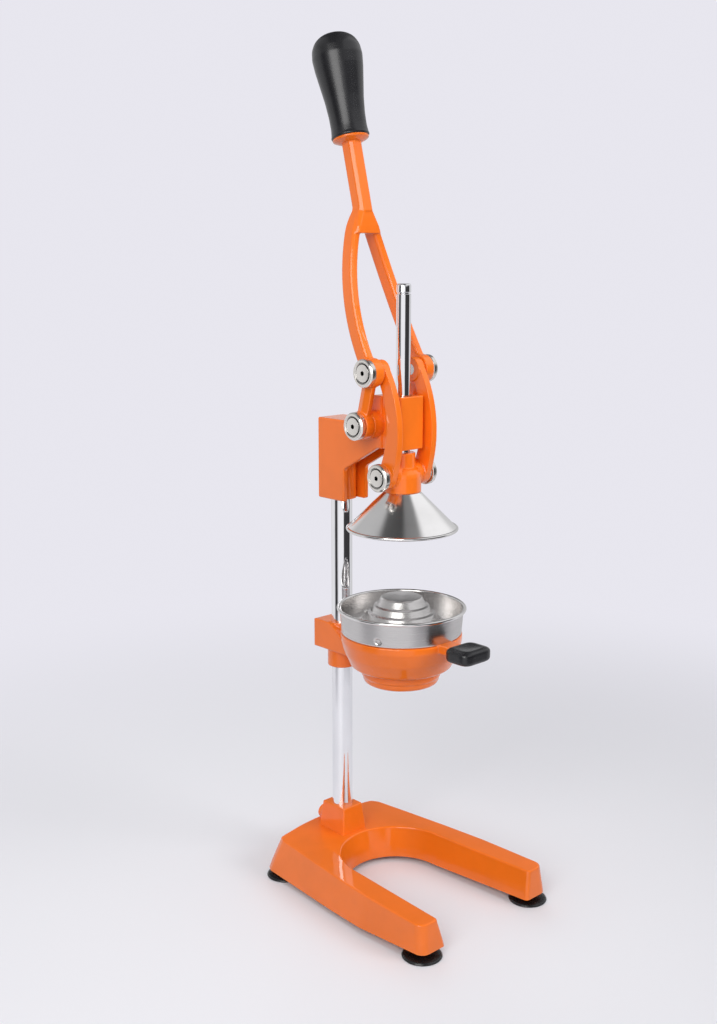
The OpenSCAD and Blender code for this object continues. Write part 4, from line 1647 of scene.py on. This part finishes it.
@dataclass
class Holder:
    """Holder casting: clamp on the column, arm, bowl and spout, and the tab grip."""

    low: float = 222.0
    high: float = 249.5
    half: float = 17.0
    back: float = 21.7
    clamp: float = 14.0
    clamp_low: float = 204.5
    bowl: float = 56.0
    scoop: float = 51.5
    arm_reach: float = 31.0
    stub_half: float = 9.0
    stub_root: float = 132.5
    floor_z: float = 255.8
    seat_radius: float = 50.5
    spout_z: float = 209.0
    spout_bore: float = 26.0
    tab_z: float = 253.4
    tab_front: float = 177.8
    tab_length: float = 27.6
    tab_half: float = 18.2
    tab_thick: float = 13.6
    tab_plan_round: float = 7.5
    tab_side_round: float = 4.2
    hollow: Place = (13.0, 10.0, 1.1)

    def build(self) -> bpy.types.Object:
        """Builds the casting.

        Returns:
            The casting.
        """
        low, bore, seat_radius = self.spout_z, self.spout_bore, self.seat_radius
        bowl = filleted(
            [(bore, low - 0.5), (31.8, low - 0.5), (34.3, low + 0.8), (35.3, low + 3.2),
             (35.6, low + 6.0), (36.8, low + 6.8), (37.0, low + 13.2), (42.6, low + 13.8),
             (46.8, low + 16.4), (52.6, 237.5), (self.bowl, 249.8), (self.bowl, self.floor_z),
             (seat_radius, self.floor_z), (seat_radius, 248.8), (48.0, 238.0), (42.0, low + 19.5),
             (bore, low + 11), (bore, low - 0.5)],
            [0, 1, 1.5, 1.5, 0.8, 0.8, 0.4, 1.2, 3, 20, 10, 0.5, 0.5, 2, 6, 4, 1, 0], steps=4)
        shells = [revolve("bowl", bowl, PRESS_AXIS, steps=160)]
        top = self.high
        arm = [(self.back, self.low), (self.back, top), (3.0, top), (-2.0, top - 0.8), (-9.0, top - 5.0),
               (-17.0, top - 11.5), (-24.0, top - 15.5), (-self.arm_reach, top - 17.5),
               (-self.arm_reach, self.low)]
        block = plate("arm", arm, -self.half, self.half, Axis.X)
        cut(block, disc("round", PRESS_AXIS, self.scoop, self.low - 4, self.high + 4, Axis.Z, steps=96))
        shells.append(block)
        shells.append(disc("clamp", (0, 0), self.clamp, self.clamp_low, self.high - 0.3, Axis.Z, steps=96))
        half, tip, root = self.stub_half, 6 - self.tab_front, -self.stub_root
        stub = [(-half, tip), (half, tip), (half, root), (-half, root)]
        shells.append(plate("stub", stub, self.tab_z - 4, self.tab_z + 4, Axis.Z))
        body = cast(joined("holder_skin", shells), voxel=0.7, rounds=3)
        return cut(body, disc("bore", (0, 0), COLUMN_BORE, 200, 255, Axis.Z, steps=96))

    def grip(self) -> bpy.types.Object:
        """Tab grip: a soft-edged block with a shallow thumb hollow on top.

        Returns:
            The grip.
        """
        bm = bmesh.new()
        bmesh.ops.create_cube(bm, size=1.0)
        bmesh.ops.subdivide_edges(bm, edges=bm.edges[:], cuts=9, use_grid_fill=True)
        half = Vector((self.tab_half, self.tab_length / 2, self.tab_thick / 2))
        round_plan, round_side = self.tab_plan_round, self.tab_side_round
        wide, long, deep = self.hollow
        for vert in bm.verts:
            spot = Vector((vert.co.x * 2 * half.x, vert.co.y * 2 * half.y, vert.co.z * 2 * half.z))
            core = Vector((max(abs(spot.x) - half.x + round_plan, 0.0),
                           max(abs(spot.y) - half.y + round_plan, 0.0)))
            if core.length > round_plan:
                core = core.normalized() * round_plan
            plan = Vector((math.copysign(min(abs(spot.x), half.x - round_plan) + core.x, spot.x),
                           math.copysign(min(abs(spot.y), half.y - round_plan) + core.y, spot.y)))
            up = max(abs(spot.z) - half.z + round_side, 0.0) / round_side
            pull = 1 - (1 - math.sqrt(max(0.0, 1 - min(1.0, up) ** 2))) * round_side / half.y
            spot.x, spot.y = plan.x * pull, plan.y * pull
            if spot.z > half.z - 0.5:
                spot.z -= deep * max(0.0, 1 - (spot.x / wide) ** 2) * max(0.0, 1 - (spot.y / long) ** 2)
            vert.co = metres(spot.x, spot.y + self.tab_length / 2 - self.tab_front, spot.z + self.tab_z)
        grip = new_object("tab_grip", bm)
        step = grip.modifiers.new("soft", "SUBSURF")
        step.levels = step.render_levels = 2
        return smooth(applied(grip), angle=70)

    def dress(self, kit: Kit) -> None:
        """Builds, paints and seats the pieces.

        Args:
            kit: The materials and node tools.
        """
        seat(dress(self.build(), kit.enamel), "frame", "orange_enamel", "holder_casting")
        seat(dress(self.grip(), kit.plastic), "frame", "black_plastic", "holder_grip")


# ---------- Studio ----------


def aimed(obj: bpy.types.Object, place: Place, aim: Place) -> None:
    """Puts a light or a camera at a place and turns it to another.

    Args:
        obj: The light or the camera.
        place: Where it goes.
        aim: Where it points.
    """
    obj.location = place
    obj.rotation_euler = (Vector(aim) - Vector(place)).to_track_quat("-Z", "Y").to_euler()


@dataclass(frozen=True)
class Lamp:
    """Square soft light, with its spread in degrees."""

    name: str
    place: Place
    size: float
    power: float
    colour: Place = (1.0, 1.0, 1.0)
    spread: float = 180.0
    mirrored: bool = False

    def build(self, aim: Place) -> None:
        """Hangs the light and turns it to a place.

        Args:
            aim: The place.
        """
        light = bpy.data.lights.new(self.name, "AREA")
        light.shape = "SQUARE"
        light.size = self.size
        light.energy = self.power
        light.color = self.colour
        light.spread = math.radians(self.spread)
        lamp = linked(self.name, light)
        lamp.visible_glossy = self.mirrored
        aimed(lamp, self.place, aim)


@dataclass
class Studio:
    """Pale floor, soft light and the camera at the photograph's angle."""

    pale: Place = (0.805, 0.795, 0.86)
    floor_radius: float = 1.5
    lens: float = 43.84
    camera_place: Place = (-0.78267, -0.78015, 0.59718)
    target: Place = (0.01104, 0.06901, 0.35599)
    lamp_aim: Place = (0.0, 0.02, 0.42)
    lamps: tuple[Lamp, ...] = (
        Lamp("key", (-1.5, -0.75, 1.15), 1.2, 19.8, (1.0, 0.99, 0.98), mirrored=True),
        Lamp("side", (0.45, -1.05, 0.82), 0.6, 1.3, spread=66.0),
        Lamp("rim", (0.9, 1.4, 1.4), 1.2, 7.0, (0.97, 0.98, 1.0)),
        Lamp("top", (-0.1, 0.0, 2.2), 1.4, 9.0))

    def floor(self) -> bpy.types.Object:
        """Round floor that fades into the backdrop's colour.

        Returns:
            The floor.
        """
        bm = bmesh.new()
        bmesh.ops.create_circle(bm, cap_ends=True, segments=128, radius=self.floor_radius)
        floor = new_object("floor", bm)
        if floor.data.polygons[0].normal.z < 0:
            floor.data.flip_normals()
        mat = bpy.data.materials.new("pale_floor")
        mat.use_nodes = True
        tree = Wiring(mat.node_tree)
        shader = tree.preset(tree.nodes["Principled BSDF"], {"Roughness": 0.6})
        path = tree.add("ShaderNodeLightPath")
        tone = tree.blend({"A": (0.82, 0.82, 0.855, 1), "B": (0.34, 0.34, 0.35, 1)})
        dim = tree.add("ShaderNodeMapRange", {"To Min": 1.0, "To Max": 0.45})
        glow = tree.add("ShaderNodeEmission", {"Color": (*self.pale, 1)})
        source = tree.add("ShaderNodeTexCoord")
        away = tree.add("ShaderNodeVectorMath")
        away.operation = "LENGTH"
        fade = tree.add("ShaderNodeMapRange", {"From Min": 0.30, "From Max": 1.05})
        fade.interpolation_type = "SMOOTHSTEP"
        far = tree.add("ShaderNodeMapRange", {"From Min": 0.45, "From Max": 0.95})
        hide = tree.maths("MULTIPLY")
        blend = tree.add("ShaderNodeMixShader")
        clear = tree.add("ShaderNodeBsdfTransparent")
        final = tree.add("ShaderNodeMixShader")
        tree.link(
            (path, "Is Diffuse Ray", tone, "Factor"), (path, "Is Diffuse Ray", dim, "Value"),
            (tone, "Result", shader, "Base Color"), (dim, "Result", glow, "Strength"),
            (source, "Object", away, 0), (away, "Value", fade, "Value"),
            (fade, "Result", blend, "Fac"), (shader, "BSDF", blend, 1),
            (glow, "Emission", blend, 2), (away, "Value", far, "Value"),
            (far, "Result", hide, 0), (path, "Is Glossy Ray", hide, 1),
            (hide, "Value", final, "Fac"), (blend, "Shader", final, 1),
            (clear, "BSDF", final, 2), (final, "Shader", tree.nodes["Material Output"], "Surface"))
        return dress(floor, mat)

    def bands(self, tree: Wiring, stops: list[Point]) -> bpy.types.Node:
        """Grey ramp of the reflected room.

        Args:
            tree: The world's tree.
            stops: Place and tone of each stop.

        Returns:
            The ramp.
        """
        ramp = tree.add("ShaderNodeValToRGB")
        elements = ramp.color_ramp.elements
        for element, (place, tone) in zip(elements, (stops[0], stops[-1])):
            element.position, element.color = place, (tone, tone, tone * 1.02, 1)
        for place, tone in stops[1:-1]:
            elements.new(place).color = (tone, tone, tone * 1.02, 1)
        return ramp

    def world(self) -> None:
        """Backdrop colour for the camera, and a room of light and dark bands for reflections.

        Level reflections read the bands round the compass, steep ones the bands across the view.
        """
        world = bpy.data.worlds.new("studio")
        bpy.context.scene.world = world
        world.use_nodes = True
        tree = Wiring(world.node_tree)
        plain = tree.preset(tree.nodes["Background"], {"Color": (*self.pale, 1)})
        room = tree.add("ShaderNodeBackground", {"Strength": 0.95})
        soft = tree.add("ShaderNodeBackground", {"Color": (0.97, 0.97, 1.0, 1), "Strength": 0.42})
        source = tree.add("ShaderNodeTexCoord")
        parts = tree.add("ShaderNodeSeparateXYZ")
        turn = tree.maths("ARCTAN2")
        share = tree.add("ShaderNodeMapRange", {"From Min": -math.pi, "From Max": math.pi})
        low = self.bands(tree, [
            (0.0, 0.5), (0.03, 1.0), (0.18, 1.0), (0.20, 0.05), (0.385, 0.04), (0.42, 0.8), (0.60, 0.62),
            (0.80, 0.9), (0.895, 0.85), (0.915, 0.2), (0.93, 0.04), (0.985, 0.05), (1.0, 0.5)])
        slant = tree.maths("SUBTRACT")
        middle = tree.maths("MULTIPLY_ADD", {1: 0.3535, 2: 0.5})
        high = self.bands(tree, [
            (0.0, 0.55), (0.24, 0.5), (0.29, 0.10), (0.50, 0.06), (0.55, 0.22), (0.69, 0.24),
            (0.73, 1.0), (1.0, 0.95)])
        lift = tree.add("ShaderNodeMapRange", {"From Min": 0.25, "From Max": 0.45})
        ramp = tree.blend()
        path = tree.add("ShaderNodeLightPath")
        mirror = tree.add("ShaderNodeMixShader")
        blend = tree.add("ShaderNodeMixShader")
        tree.link(
            (source, "Generated", parts, "Vector"), (parts, "Y", turn, 0), (parts, "X", turn, 1),
            (turn, "Value", share, "Value"), (share, "Result", low, "Fac"),
            (parts, "X", slant, 0), (parts, "Y", slant, 1), (slant, "Value", middle, 0),
            (middle, "Value", high, "Fac"), (parts, "Z", lift, "Value"),
            (lift, "Result", ramp, "Factor"), (low, "Color", ramp, "A"), (high, "Color", ramp, "B"),
            (ramp, "Result", room, "Color"), (path, "Is Camera Ray", blend, "Fac"),
            (path, "Is Glossy Ray", mirror, "Fac"), (soft, "Background", mirror, 1),
            (room, "Background", mirror, 2), (mirror, "Shader", blend, 1),
            (plain, "Background", blend, 2),
            (blend, "Shader", tree.nodes["World Output"], "Surface"))

    def build(self) -> None:
        """Builds the floor, the backdrop, the lights and the camera."""
        self.floor()
        self.world()
        for lamp in self.lamps:
            lamp.build(self.lamp_aim)
        lens = bpy.data.cameras.new("photo_camera")
        lens.sensor_fit = "AUTO"
        lens.sensor_width = 36.0
        lens.lens = self.lens
        lens.clip_start = 0.01
        camera = linked("photo_camera", lens)
        aimed(camera, self.camera_place, self.target)
        bpy.context.scene.camera = camera
        bpy.context.scene.view_settings.view_transform = "Standard"


def dress_small_nodes(kit: Kit) -> None:
    """Gives the small CAD nodes that stay their materials.

    Args:
        kit: The materials and node tools.
    """
    keep = ("base_screw", "head_screw_upper", "head_screw_lower", "guide_bush", "fulcrum_axle",
            "top_pin_left", "top_pin_right", "link_washer_left", "link_washer_right",
            "link_pin_left", "link_pin_right", "hub_pin", "cone_screw", "holder_screw",
            "stud_front_left", "stud_front_right", "stud_rear_left", "stud_rear_right")
    for name in keep:
        dress(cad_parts[name], kit.steel)


def main() -> None:
    """Builds the press and its studio in order."""
    logging.basicConfig(level=logging.INFO)
    kit = Kit()
    for section in (Base(), Column(), Head(), Lever(), Links(), Press(), Cup(), Holder()):
        section.dress(kit)
        LOG.info("%s built", type(section).__name__)
    dress_small_nodes(kit)
    Studio().build()


if __name__ == "__main__":
    main()
